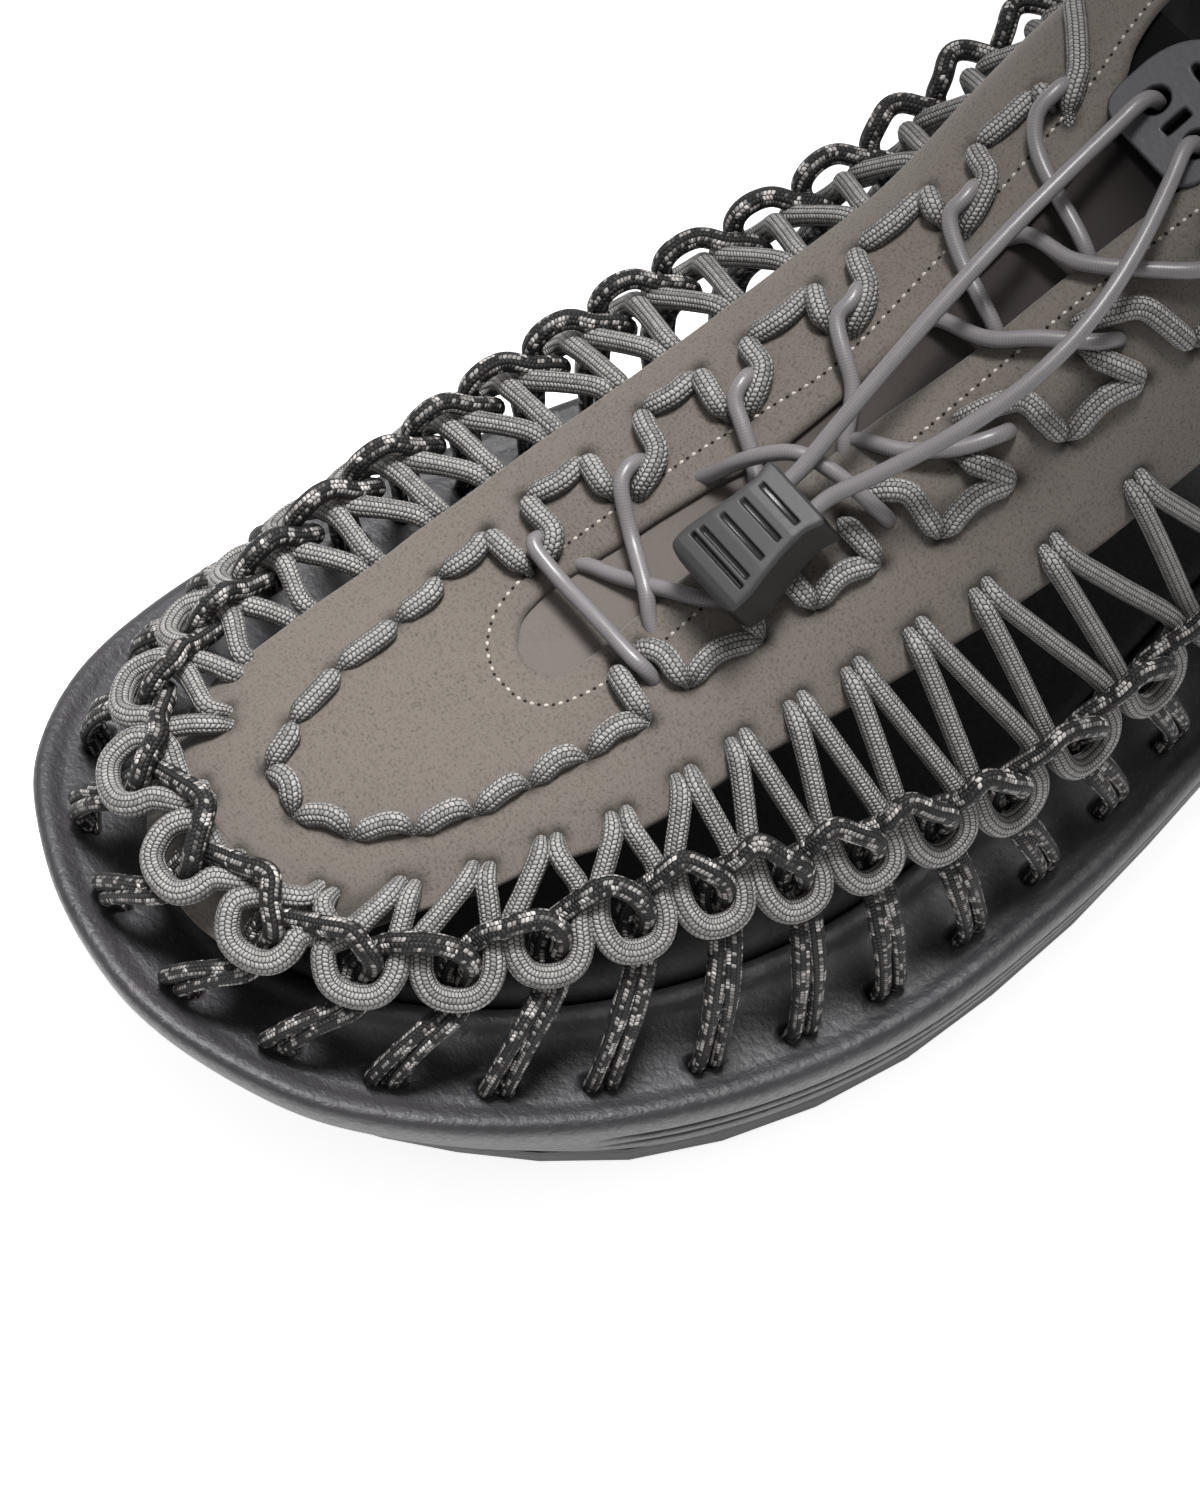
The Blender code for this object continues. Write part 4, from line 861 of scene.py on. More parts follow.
# %% Suede finish
def suede(name, colour):
    """Fine nap times broad patches scales the colour; marks blend in black lining, and painted shade in
    holes and on cut edges.
    """
    f = Finish(name)
    nap = f.grain(2300.0, 4.0, 0.8)
    patch = f.grain(120.0, 3.0, 0.6)
    tone = ((nap - 0.5) * 3.0 + 1.0) * (patch * 0.30 + 0.85)
    body = f.blend(tone, (0.0, 0.0, 0.0), colour)
    # Painted shade in the holes where the cords go into the suede.
    body = f.blend(f.mark("hole") ** 0.7, body, (0.012, 0.011, 0.010))
    # Painted shade on the cut edge of the sheet.
    body = f.blend(f.mark("edge") * 0.5, body, tuple(c * 0.45 for c in colour))
    body = f.blend(f.mark("lining"), body, f.blend(nap, (0.004, 0.004, 0.004), (0.016, 0.015, 0.015)))
    normal = f.relief(nap, 0.55, 0.0003)
    return f.coat(Base_Color=body, Roughness=0.95, Specular_IOR_Level=0.08, Sheen_Weight=0.25,
                  Sheen_Roughness=0.4, Normal=normal)


taupe_suede = suede("taupe_suede", (0.128, 0.111, 0.098))
lay("saddle", [saddle], taupe_suede, ["vamp"],
    marks={"hole": [hole], "edge": [edge], "lining": [lining]})

# %% [markdown]
# ## Heel cup
# The same suede closes the back of the shoe, from the sole's groove to the collar, with a black binding
# along its top. It is a sheet like the saddle, so the same section is carried round the heel, where u
# passes from its largest value on the outer side to its smallest on the inner side.

# %% Heel cup
TUCK = 5.0


def round_heel(start, count):
    """Places u from start on the outer side, round the heel, to the same place on the inner side."""
    u = np.linspace(start, 2 * HALF_GIRTH - start, count)
    return np.where(u > HALF_GIRTH, u - 2 * HALF_GIRTH, u)


def cup_bump(u, s):
    """Lift off the last: 1.1 mm eased in below the collar, less 2 mm eased out behind the saddle's end."""
    return 1.1 * ease((s - 0.88) / 0.08) - 2.0 * (1 - ease((np.abs(u) - VAMP_REAR - 1) / 8))


us = round_heel(VAMP_REAR - TUCK, 180)
behind = np.abs(us) - VAMP_REAR
cup_low = 0.02 + 0.46 * (1 - ease((behind + TUCK) / 15))
cup_high = np.minimum(0.995, look_up(FLAP, 1, us) - 0.035 + 0.10 * ease(behind / 12))
cup, cup_u, cup_s, cup_depth = wall_section(us, cup_low, cup_high, 60, 16, SHEET, cup_bump)
cup_edge, cup_lining = sheet_marks(cup_depth, cup_u)
binding = ease((cup_s - np.pad(cup_high, 1, mode="edge")[:, None] + 0.05) / 0.008)
lay("heel_cup", [cup], taupe_suede, ["heel_counter"],
    marks={"hole": [np.zeros_like(cup_u)], "edge": [cup_edge], "lining": [np.maximum(cup_lining, binding)]})

# %% [markdown]
# ## Gusset
# Under the throat lies a soft tongue that keeps the bungee off the foot, taupe at the toe end and darker
# up the instep, partly its own dark grey and partly painted shade under the flaps. Both its sides lie
# under the saddle's flaps, so it is drawn from them: a strip up each side of the last, with a level,
# slightly domed bridge between, and the same again lower down as its underside. One mark fades the
# colour along it with that painted shade; another paints black the plate's shadow on its rear end.

# %% Gusset
a = np.linspace(22, 204, 120)
rim = np.linspace(0.84, 1.0, 12)
cross = np.linspace(0, 1, 17)[1:-1]
one = skin(a[:, None], rim[None, :], -2.45)
two = skin(-a[:, None], rim[::-1][None, :], -2.45)
middle = one[:, -1:] + (two[:, :1] - one[:, -1:]) * cross[None, :, None]
middle[..., 2] += 0.8 * np.sin(np.pi * cross)
upper = np.concatenate([one, middle, two], 1)
low = upper[:, ::-1] - np.array([0.0, 0.0, 1.5])
gusset = np.concatenate([upper, low], 1)
gusset[[0, -1]] = gusset[[0, -1]].mean(axis=1, keepdims=True)
# Darker up the instep: partly the cloth's own dark grey, partly painted shade under the flaps.
grey_and_shade_fade = ease((gusset[..., 1] + 66) / 62)
# Black at the rear end: painted shadow of the plate.
plate_shadow = ease((gusset[..., 1] - 12) / 16)


def gusset_cloth(name):
    """Taupe fades to dark grey and painted shade, then to a painted black shadow, by the marks along the
    piece; all scaled by fine nap times broad patches.
    """
    f = Finish(name)
    nap = f.grain(2200.0, 3.0, 0.7)
    patch = f.grain(160.0, 2.0)
    tone = (nap * 0.5 + 0.75) * (patch * 0.3 + 0.85)
    # Taupe to dark grey with painted shade, then the painted plate shadow in black.
    body = f.blend(f.mark("grey_and_shade_fade"), (0.120, 0.104, 0.094), (0.034, 0.028, 0.027))
    body = f.blend(f.mark("plate_shadow"), body, (0.004, 0.004, 0.004))
    body = f.blend(tone, (0.0, 0.0, 0.0), body)
    return f.coat(Base_Color=body, Roughness=0.95, Specular_IOR_Level=0.08,
                  Normal=f.relief(nap, 0.3, 0.0002))


lay("gusset", [gusset], gusset_cloth("gusset_cloth"), ["tongue"],
    marks={"grey_and_shade_fade": [grey_and_shade_fade], "plate_shadow": [plate_shadow]})

# %% [markdown]
# ## Edge cord
# A grey cord is whipped along the saddle: short scallops from hole to hole round the toe, and beside the
# throat two legs in each unit that reach in to the edge and hold the bungee. It could be cut into short
# pieces, but a real cord goes on beneath, so it is one path that dives through each hole, thinner there.

# %% Stitches of the edge cord
def scallop(a, b):
    """From a hole, over in a bow towards the middle of the saddle, down into the next hole.

    Places are shares of the straight way, plus a bow in s, at heights that rise and fall over it.
    """
    share = np.array([0.10, 0.28, 0.50, 0.72, 0.90, 1.0])
    bow = np.array([0.006, 0.020, 0.027, 0.020, 0.006, 0.0])
    height = np.array([-0.2, 0.75, 1.05, 0.75, -0.2, -2.6])
    return list(zip(a[0] + (b[0] - a[0]) * share, a[1] + (b[1] - a[1]) * share + bow, height))


def lace_unit(row):
    """In along a straight leg, under at the throat, and back out along a curved leg.

    Each point is a share of the way between two of the row's five places, with its height.
    """
    start, inner, curl, bow, end = row.reshape(5, 2)
    over = ((0.0, -3.4), (0.14, 0.1), (0.4, 1.3), (0.7, 1.4), (0.95, 0.2), (1.0, -2.6))
    straight = [(start + (inner - start) * share, height) for share, height in over]
    under = [((inner + curl) / 2 + (0.0, 0.004), -3.4), (curl, -2.0)]
    curved = [(curl + (bow - curl) * 0.2, 0.3), (curl + (bow - curl) * 0.6 + (0.0, 0.006), 1.4), (bow, 1.5),
              (bow + (end - bow) * 0.45, 1.4), (bow + (end - bow) * 0.86, 0.1), (end, -3.4)]
    return [(at[0], at[1], height) for at, height in straight + under + curved]


# %% The edge cord
EDGE_CORD = 1.66
route = []
for row in LACE_UNITS_OUTER[::-1]:
    back_unit = lace_unit(row)[::-1]
    if route:
        route += scallop(route[-1], back_unit[0])[:-1]
    route += back_unit
for spot in TOE_HOLES:
    route += scallop(route[-1], (spot[0], spot[1]))
for row in LACE_UNITS_INNER:
    unit = lace_unit(row)
    route += scallop(route[-1], unit[0])[:-1] + unit
route = np.array(route)
edge_path = flowing(skin(route[:, 0], route[:, 1], route[:, 2]), 0.5, 0.55)
sunk = route[route[:, 2] < -2.4]
pinch = squeezed(edge_path, skin(sunk[:, 0], sunk[:, 1], -0.3), EDGE_CORD, 0.30, 2.8)
edge_grid, edge_run = tube(edge_path, pinch)
lay("edge_cord", [edge_grid], grey_braid, ["trim_cord"], uv=[edge_run])
print("edge cord, mm:", round(float(edge_run[-1])))

# %% [markdown]
# ## Sole
# The foam sole is moulded in one: a recess for the footbed, a wide level flange with the slots, a rounded
# rim, and a side wall with two thin grooves that fade out at toe and heel. A box with bevels could not
# follow the toe's rise and draw-in, so one section is carried round the plan. Corner cutting rounds the
# section, and the slots are pressed into the flange where the black legs go in.

# %% Section of the foam sole
# Inset from the outline, height, depth of the groove, and draw-in under the toe.
FOAM = np.array([
    (19.6, 15.8, 0, 0), (19.6, 20.3, 0, 0), (16.6, 20.3, 0, 0), (15.4, 19.2, 0, 0), (10.8, 19.2, 0, 0),
    (6.0, 19.2, 0, 0), (4.0, 19.0, 0, 0), (2.6, 19.6, 0, 0), (1.0, 19.5, 0, 0), (0.0, 18.2, 0, 0),
    (0.0, 15.6, 0, 0), (0.12, 14.5, 0, 0.3), (0.15, 14.1, 1.0, 0.35), (0.25, 13.4, 1.0, 0.45),
    (0.3, 13.0, 0, 0.5), (0.5, 11.0, 0, 1.0), (0.55, 10.6, 1.0, 1.2), (0.65, 9.9, 1.0, 1.4),
    (0.7, 9.5, 0, 1.6), (1.3, 6.8, 0, 3.0), (1.4, 6.3, 0, 3.2)])


def cut_corners(line):
    """Chaikin's rule: each side keeps its middle half, so corners round off."""
    a, b = line[:-1], line[1:]
    cut = np.stack([0.75 * a + 0.25 * b, 0.25 * a + 0.75 * b], 1).reshape(-1, line.shape[1])
    return np.vstack([line[:1], cut, line[-1:]])


def spine(ring):
    """Line down the middle of the sole that a ring closes to: halfway between its two sides at each y."""
    y = np.clip(ring[:, 1], ring[:, 1].min() + 18, ring[:, 1].max() - 18)
    half = len(ring) // 2
    left = np.interp(y, *ring[half:][np.argsort(ring[half:, 1])].T[::-1])
    right = np.interp(y, *ring[:half][np.argsort(ring[:half, 1])].T[::-1])
    return np.stack([(left + right) / 2, y], 1)


section = cut_corners(FOAM)
run = run_along(section[:, :2])
flange = (section[:, 0] < 12) & (section[:, 0] > 3.6) & (section[:, 1] > 18.5)
extra = np.linspace(run[flange].min(), run[flange].max(), 20)[1:-1]
section = pick(np.sort(np.r_[run, extra]), run, section)
COUNT = 940
print("points of the section:", len(section))


# %% Foam sole
def level_ring(flat, z):
    """Plan points set at a height, plus the toe's rise there."""
    return np.column_stack([flat, z + spring(flat[:, 1])])


def sole_ring(inset, z, groove, tuck):
    """One ring: the inset outline, drawn in by groove along the side and by tuck under the toe."""
    ring = sole_loop(inset, COUNT)
    t = 0.5 - ring[:, 1] / LENGTH
    fade = ease((0.85 - t) / 0.05) * ease((t - 0.06) / 0.05)
    deep = sole_loop(inset + groove, COUNT) if groove else ring
    under = sole_loop(inset + tuck, COUNT) if tuck else ring
    placed = ring + (deep - ring) * fade[:, None] + (under - ring) * tuck_share(ring[:, 1])[:, None]
    return level_ring(placed, z)


rings = np.array([sole_ring(*row) for row in section])
slots = 0.5 * (in_slot(-1, 0.0, 0.0) + in_slot(1, 0.0, 0.0))
slot_along = unit_vector(foot_point(slot_at + 2) - foot_point(slot_at - 2))
offset = rings[:, :, None, :2] - slots[:, :2]
along = np.abs(np.sum(offset * slot_along[:, :2], -1))
across = np.abs(offset[..., 0] * slot_along[:, 1] - offset[..., 1] * slot_along[:, 0])
dent = (1 - ease((along - 2.1) / 0.8)) * (1 - ease((across - 0.5) / 0.8))
dent = dent.max(-1) * (section[:, 1] > 18.5)[:, None]
rings[..., 2] -= 3.0 * dent
ends = [level_ring(spine(ring[:, :2]), z) for ring, z in ((rings[0], 15.8), (rings[-1], 6.3))]
foam = np.concatenate([ends[:1], rings, ends[1:]])
# Painted shade: the slot dents are coloured black.
slot_painted_shade = np.concatenate([np.zeros((1, COUNT)), ease((dent - 0.3) / 0.6), np.zeros((1, COUNT))])


def foam_finish(name):
    """Two charcoals clouded together, pale specks, and painted black shade in the slots; a pebble noise
    sets gloss and relief.
    """
    f = Finish(name)
    pebble = f.grain(900.0, 4.0, 0.6)
    speck = f.grain(1700.0, 2.0, 0.6).rise(0.66, 0.74)
    cloud = f.grain(45.0, 3.0)
    body = f.blend(cloud.rise(0.3, 0.7), (0.016, 0.015, 0.017), (0.023, 0.021, 0.024))
    body = f.blend(speck * 0.6, body, (0.10, 0.097, 0.10))
    body = f.blend(f.mark("slot"), body, (0.004, 0.004, 0.004))
    rough = pebble * 0.25 + 0.38
    return f.coat(Base_Color=body, Roughness=rough, Specular_IOR_Level=0.5,
                  Normal=f.relief(pebble, 0.5, 0.0005))


lay("foam_sole", [foam], foam_finish("charcoal_foam"), ["midsole"],
    marks={"slot": [slot_painted_shade]})

# %% [markdown]
# ## Footbed
# The footbed is a cushion in the sole's recess, covered in dark microfibre, with a raised lip and a
# shallow hollow for the foot. It is a stack of inset outlines, as the sole is, and its inner rings close
# on the line down the middle, so that no face has to be a large polygon.

# %% Footbed
# Inset from the outline, height.
BED = np.array([
    (19.9, 16.1), (19.9, 21.2), (20.3, 22.2), (21.2, 22.6), (22.6, 22.2), (24.5, 21.4), (27.0, 20.8),
    (30.0, 20.4)])
bed = [level_ring(sole_loop(inset, 360), z) for inset, z in BED]
last_ring = bed[-1][:, :2]
line = spine(last_ring)
for share in (0.12, 0.3, 0.5, 0.7, 0.85, 1.0):
    bed.append(level_ring(last_ring + (line - last_ring) * share, 20.4 - 0.4 * np.sin(np.pi * share)))
bed = [level_ring(spine(bed[0][:, :2]), 16.1)] + bed
microfibre = mottled("footbed_microfibre", (0.018, 0.018, 0.018), (0.055, 0.053, 0.053), (1300.0, 3.0, 0.6),
                     (0.4, 0.0004), Roughness=0.9, Specular_IOR_Level=0.12)
lay("footbed_top", [np.array(bed)], microfibre, ["insole"])


# %% [markdown]
# ## Tread
# The rubber under the foam has its lugs in the solid already, so that solid stays and only gets a new
# finish: matt black rubber with a fine grain, read from the place on the piece.

# %% Rubber tread
def tread_finish(name):
    """Two blacks mixed by a noise that also sets the gloss and the relief."""
    f = Finish(name)
    grain = f.grain(700.0, 3.0, 0.6)
    body = f.blend(grain, (0.009, 0.009, 0.009), (0.022, 0.021, 0.022))
    return f.coat(Base_Color=body, Roughness=grain * 0.2 + 0.6, Normal=f.relief(grain, 0.3, 0.0003))


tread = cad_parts["outsole"]
tread.data.materials.clear()
tread.data.materials.append(tread_finish("tread_rubber"))
print("outsole keeps its solid:", len(tread.data.polygons), "faces")

# %% [markdown]
# ## Bungee
# The lacing is one thin elastic with a tightly wound cover, so it is smooth and a little glossy. It hooks
# round the legs of the edge cord and crosses the throat. A taut strand is nearly straight, so each needs
# only a few points, given on the last: place u, height s, and lift above the surface. A strand that runs
# on to the other side changes the sign of u.

# %% Bungee strands
BUNGEE = 1.16
STRANDS = [
    [(-84, 0.975, -0.8), (-83, 0.985, 2.2), (-80, 0.99, 3.2), (-70, 1.065, 3.4), (76.5, 1.072, 3.4),
     (84, 0.99, 2.6), (86, 0.945, 1.6), (87, 0.915, -1.6)],
    [(-80, 1.02, -2.6), (-83, 1.055, -0.6), (-84.5, 1.107, 1.0), (100, 1.03, 1.6), (104, 0.99, 1.5),
     (108, 0.95, -1.5)],
    [(-111, 0.985, -0.8), (-109, 0.985, 2.4), (-106, 0.995, 3.4), (-103.5, 1.01, 3.2), (-96.5, 1.072, 1.4),
     (94, 1.065, 1.2), (91, 1.03, -0.4), (90, 1.0, -2.6)],
    [(-112, 1.02, -2.8), (-115.5, 1.057, -0.4), (-122, 1.102, 5.6), (128.5, 1.052, 7.0), (131, 0.985, 5.4),
     (132.5, 0.88, 1.9), (133, 0.85, -1.5)],
    [(-131, 0.985, -0.8), (-130.5, 0.990, 2.4), (-128.5, 1.0, 3.4), (-126.5, 1.01, 3.2),
     (-124.5, 1.052, 2.2), (-122, 1.095, 0.8), (118, 1.03, -0.6), (116, 1.0, -2.6)],
    [(-150.5, 0.99, -0.8), (-149.5, 0.995, 2.4), (-147.5, 1.01, 3.2), (-144.5, 1.012, 3.2),
     (-142, 1.055, 2.4), (-139.5, 1.10, 0.8), (134, 1.04, -0.8), (132, 1.0, -2.8)],
    [(134, 1.055, -2.6), (136.5, 1.03, 0.0), (138, 1.0, 1.5), (140, 0.945, 1.7), (145.5, 0.875, 2.6),
     (151, 0.84, 2.6), (153.5, 0.825, -0.6)],
    [(-152, 1.06, -2.8), (-155, 1.097, -0.2), (158, 1.02, 1.6), (163, 0.945, 1.8), (168, 0.86, 2.6),
     (170.5, 0.83, 1.6), (172, 0.81, -1.2)],
    [(-171, 0.995, -0.8), (-170, 1.0, 2.4), (-168, 1.01, 3.2), (-165, 1.012, 3.2), (-162.5, 1.067, 1.6),
     (160, 1.035, -0.2), (158, 1.0, -2.8)],
    [(-168, 1.06, -2.8), (-171.5, 1.10, 0.0), (173, 1.03, 1.4), (177.5, 0.935, 1.7), (184.5, 0.83, 2.4),
     (188, 0.80, -1.2)],
    [(-188, 0.955, -0.8), (-187, 0.96, 2.4), (-185, 0.968, 3.2), (-181.5, 0.978, 3.0), (-178.5, 1.035, 1.6),
     (175.5, 1.04, 0.0), (173, 1.0, -2.8)],
]
bungee_grids, bungee_runs = [], []
for strand in STRANDS:
    knots = np.array(strand)
    path = flowing(skin(knots[:, 0], knots[:, 1], knots[:, 2]), 0.6, 1.8)
    grid, run = tube(path, BUNGEE)
    bungee_grids.append(grid)
    bungee_runs.append(run)


def bungee_finish(name):
    """A sine winds along and round the strand; with a cloudy noise it mixes two lilac greys."""
    f = Finish(name)
    x, y = f.pattern_place()
    wound = (y * (2 * np.pi / 0.42) + x * (2 * np.pi)).sine() * 0.5 + 0.5
    cloud = f.grain(300.0, 2.0)
    body = f.blend(wound * 0.45 + cloud * 0.4, (0.105, 0.097, 0.101), (0.175, 0.163, 0.170))
    return f.coat(Base_Color=body, Roughness=0.36, Specular_IOR_Level=0.45,
                  Normal=f.relief(wound, 0.1, 0.00005))


lilac_bungee = bungee_finish("lilac_bungee")
lay("bungee_lacing", bungee_grids, lilac_bungee, ["lace_crossings"], uv=bungee_runs)
print("bungee strands, mm:", [round(float(run[-1])) for run in bungee_runs])

# %% [markdown]
# ## Free runs
# Two runs of the same elastic leave the lock and go up to the plate on the instep. Lock and plate are
# rigid, so each gets three directions of its own, along, across and up, and the runs start and end in
# those. A straight run would look dead, so each is lifted by half a sine wave, the outer one sideways too.

# %% Lock and plate frames
def slope_axes(sideways, degrees):
    """Along at a slope up the instep, across square to it and level, and up square to both."""
    slope = np.radians(degrees)
    along = unit_vector(np.array([sideways, np.cos(slope), np.sin(slope)]))
    across = unit_vector(np.cross(along, [0.0, 0.0, 1.0]))
    return along, across, np.cross(across, along)


LOCK_AT = np.array([10.4, -45.6, 77.6])
lock_along, lock_across, lock_up = slope_axes(-0.04, 23)
PLATE_AT = np.array([0.8, 31.5, 102.2])
plate_along, plate_across, plate_up = slope_axes(0.0, 24)
print("lock to plate, mm:", round(float(np.linalg.norm(PLATE_AT - LOCK_AT)), 1))

# %% Free runs
RUNS = (("bungee_run_inner", "lace_run_inner", -2.8, -4.2, 0.0),
        ("bungee_run_outer", "lace_run_outer", 2.8, 4.9, 10.0))
for name, node, apart, spread, bow in RUNS:
    out = LOCK_AT + lock_across * apart + lock_up * 0.8
    hole_at = PLATE_AT + plate_across * spread - plate_along * 1.5
    share = np.linspace(0, 1, 15)[:, None]
    first, final = out + lock_along * 10.8, hole_at + plate_up * 3.2 - plate_along * 1.5
    bowed = first + (final - first) * share + np.array([[bow, 0.0, 4.0]]) * np.sin(np.pi * share)
    knots = np.vstack([out + lock_along * 7.0, bowed, hole_at + plate_up * 0.6, hole_at - plate_up * 2.4])
    grid, run = tube(flowing(knots, 0.6, 2.4), BUNGEE)
    lay(name, [grid], lilac_bungee, [node], uv=[run])
    print(name, round(float(run[-1])), "mm")

# %% [markdown]
# ## Cord lock
# The lock is a moulded slide that grips the bungee: a satin top with four finger grooves and a split end,
# over flared black sides. Boolean cuts would leave ragged edges, so it is one surface: a rounded square
# carried along the lock, as wide as its plan and as tall as its profile, with the grooves pressed into
# its top. A mark on the points tells the satin top from the polished sides, and leaves the grooves the
# sides' black as painted shade.

# %% Body of the cord lock
# Place along the lock, half width.
LOCK_PLAN = np.array([
    (-9.4, 5.9), (-8.6, 6.6), (-6.5, 6.8), (-2.0, 6.2), (2.0, 5.55), (5.5, 5.35), (8.0, 5.9), (8.8, 5.8)])
at = np.linspace(-9.4, 8.8, 150)
half = look_up(LOCK_PLAN, 1, at)
cap = round_end((-at - 8.2) / 1.2, 2.2) * round_end((at - 8.3) / 0.5, 2.0)
turn = np.linspace(0, 2 * np.pi, 120, endpoint=False)


def boxy(v, power):
    """Cosine or sine pushed out towards a square: its size to the power two over power, with its sign."""
    return np.sign(v) * np.abs(v) ** (2 / power)


wide = boxy(np.cos(turn), 12.0)
tall = boxy(np.sin(turn), 12.0)
flare = 1 + 0.16 * np.clip(0.6 - tall, 0, 2) / 1.6
x = half[:, None] * wide[None, :] * flare[None, :] * (0.55 + 0.45 * cap[:, None])
top = np.interp(at, [-9.4, -7.5, -2, 4, 8.8], [3.4, 4.4, 4.7, 4.5, 3.6])
z = np.where(tall[None, :] > 0, top[:, None] * tall[None, :], 3.9 * tall[None, :])
z = z * (0.4 + 0.6 * cap[:, None])
print("cord lock, mm:", np.round([np.ptp(x), np.ptp(at), np.ptp(z)], 1))

# %% Grooves of the cord lock
# Place along the lock, share of its width, half breadth, depth.
GROOVES = ((5.6, 0.66, 0.30, 0.8), (2.35, 0.66, 0.30, 0.8), (-0.9, 0.66, 0.30, 0.8),
           (-4.1, 0.70, 0.30, 0.8), (-5.5, 0.74, 0.20, 1.0))
on_top = ease((tall - 0.8) / 0.15)[None, :]
cuts = np.zeros_like(x)
for place, reach_of, broad, deep in GROOVES:
    length = 1 - ease((np.abs(x) - reach_of * half[:, None]) / 0.4)
    cuts = np.maximum(cuts, deep * length * (1 - ease((np.abs(at - place) - broad) / 0.25))[:, None])
z = z - cuts * on_top
lock = LOCK_AT + at[:, None, None] * lock_along + x[..., None] * lock_across + z[..., None] * lock_up
middles = lock[[0, -1]].mean(axis=1, keepdims=True) * np.ones((1, len(turn), 1))
lock = np.concatenate([middles[:1], lock, middles[1:]])
# The grooves fall out of the mark and take the sides' black: painted shade in the grooves.
face = np.pad(on_top * (1 - np.clip(cuts, 0, 1)), ((1, 1), (0, 0)))


def lock_finish(name):
    """Black sides and charcoal top by the mark, which also adds roughness; painted shade in the grooves;
    a fine noise sparkles.
    """
    f = Finish(name)
    spark = f.grain(1500.0, 2.0)
    body = f.blend(f.mark("face"), (0.003, 0.003, 0.003), (0.026, 0.025, 0.026))
    return f.coat(Base_Color=body, Roughness=f.mark("face") * 0.26 + spark * 0.1 + 0.26,
                  Normal=f.relief(spark, 0.15, 0.0001))


lay("cord_lock_body", [lock], lock_finish("satin_lock"), ["cord_lock"],
    marks={"face": [face]})

# %% [markdown]
# ## Lace plate
# A flat moulded plate keeps the two runs apart at the top of the throat. It has an arched top, two round
# holes for the bungee, a slot between them and one above. Holes are awkward in a grid, so here one of
# Blender's own tools is better: a flat curve is filled round its holes and bevelled, which gives the
# soft moulded edge, and it is made a mesh before it is placed.

# %% Outline of the lace plate
turn = np.linspace(0, 2 * np.pi, 72, endpoint=False)
arched = np.where(np.sin(turn) > 0, 2.2, 5.0)
depth = np.where(np.sin(turn) > 0, 10.3, 7.6)
outline = np.stack([9.0 * boxy(np.cos(turn), arched), depth * boxy(np.sin(turn), arched)], 1)
ring = np.stack([np.cos(turn), np.sin(turn)], 1)
holes = [ring * (2.3, 2.6) + (-4.0, -1.7), ring * (2.3, 2.6) + (4.8, -1.7),
         boxy(ring, 5.0) * (1.15, 2.5) + (0.4, -1.6), boxy(ring, 3.0) * (4.6, 1.3) + (0.0, 5.2)]
print("lace plate, mm:", np.round(np.ptp(outline, axis=0), 1), "with", len(holes), "holes")

# %% Lace plate
curve = bpy.data.curves.new("plate_outline", "CURVE")
curve.dimensions = "2D"
curve.fill_mode = "BOTH"
curve.extrude = 0.75
curve.bevel_depth = 0.35
curve.bevel_resolution = 2
for line in [outline] + holes:
    spline = curve.splines.new("POLY")
    spline.points.add(len(line) - 1)
    corners = np.column_stack([line, np.zeros(len(line)), np.ones(len(line))])
    spline.points.foreach_set("co", corners.ravel())
    spline.use_cyclic_u = True
drawn = put("plate_outline", curve)
plate = bpy.data.meshes.new_from_object(drawn.evaluated_get(bpy.context.evaluated_depsgraph_get()))
bpy.data.objects.remove(drawn)
placing = np.eye(4)
placing[:3, :3] = np.stack([plate_across, plate_along, plate_up], 1) * 0.001
placing[:3, 3] = (PLATE_AT - CENTRE) * 0.001
plate.transform(Matrix(placing.tolist()))
plate.materials.clear()
slate = mottled("slate_plate", (0.026, 0.025, 0.029), (0.042, 0.041, 0.046), (1200.0, 3.0), (0.2, 0.0002),
                Roughness=0.45)
seat("lace_plate_body", plate, slate, ["lace_plate"])

# %% [markdown]
# ## Stitching
# A cream thread runs along the throat a few millimetres outside the flap's edge, and plain seams hold the
# heel cup. A dashed line in the finish would lie flat, and real stitches catch the light, so each is a
# small round-ended bar of a few dozen faces, laid by its own along, across and out directions. Darker
# bars between them are painted shade in the needle's holes.

# %% Stitches
# Place u, and the height s of the seam along the throat.
SEAM = np.array([
    (-205, 0.905), (-197, 0.945), (-190, 0.985), (-175, 1.015), (-155, 1.037), (-139, 1.050), (-129, 1.037),
    (-113, 1.019), (-88, 1.013), (-61, 1.012), (-35, 1.017), (0, 1.016), (47, 1.008), (70, 1.005),
    (90, 0.985), (114, 0.985), (141, 0.962), (174, 0.955), (205, 0.955)])


def stitches(line, out, long, gap, thick, start):
    """Round bars along a line: each is long, and long plus gap from the next, counted from start.

    Five rings of six points each go along a bar, and the square of the distance from its middle sinks them.
    """
    run = run_along(line)
    middle = np.arange(gap + start, run[-1] - gap, long + gap)
    at = pick(middle, run, line)
    ahead = unit_vector(pick(middle + 0.6, run, line) - at)
    up = pick(middle, run, out)
    across = np.cross(up, ahead)
    step = np.array([(-0.52, 0.1), (-0.42, 0.75), (0.0, 1.0), (0.42, 0.75), (0.52, 0.1)])
    angle = 2 * np.pi * np.arange(6) / 6
    sink = -0.5 * (np.abs(step[:, 0]) / 0.52) ** 2
    grids = (at[:, None, None] + ahead[:, None, None] * (step[:, 0] * long)[None, :, None, None]
             + across[:, None, None] * (step[:, 1, None] * np.cos(angle) * thick)[None, :, :, None]
             + up[:, None, None]
             * (step[:, 1, None] * np.sin(angle) * thick + sink[:, None])[None, :, :, None])
    return list(grids)


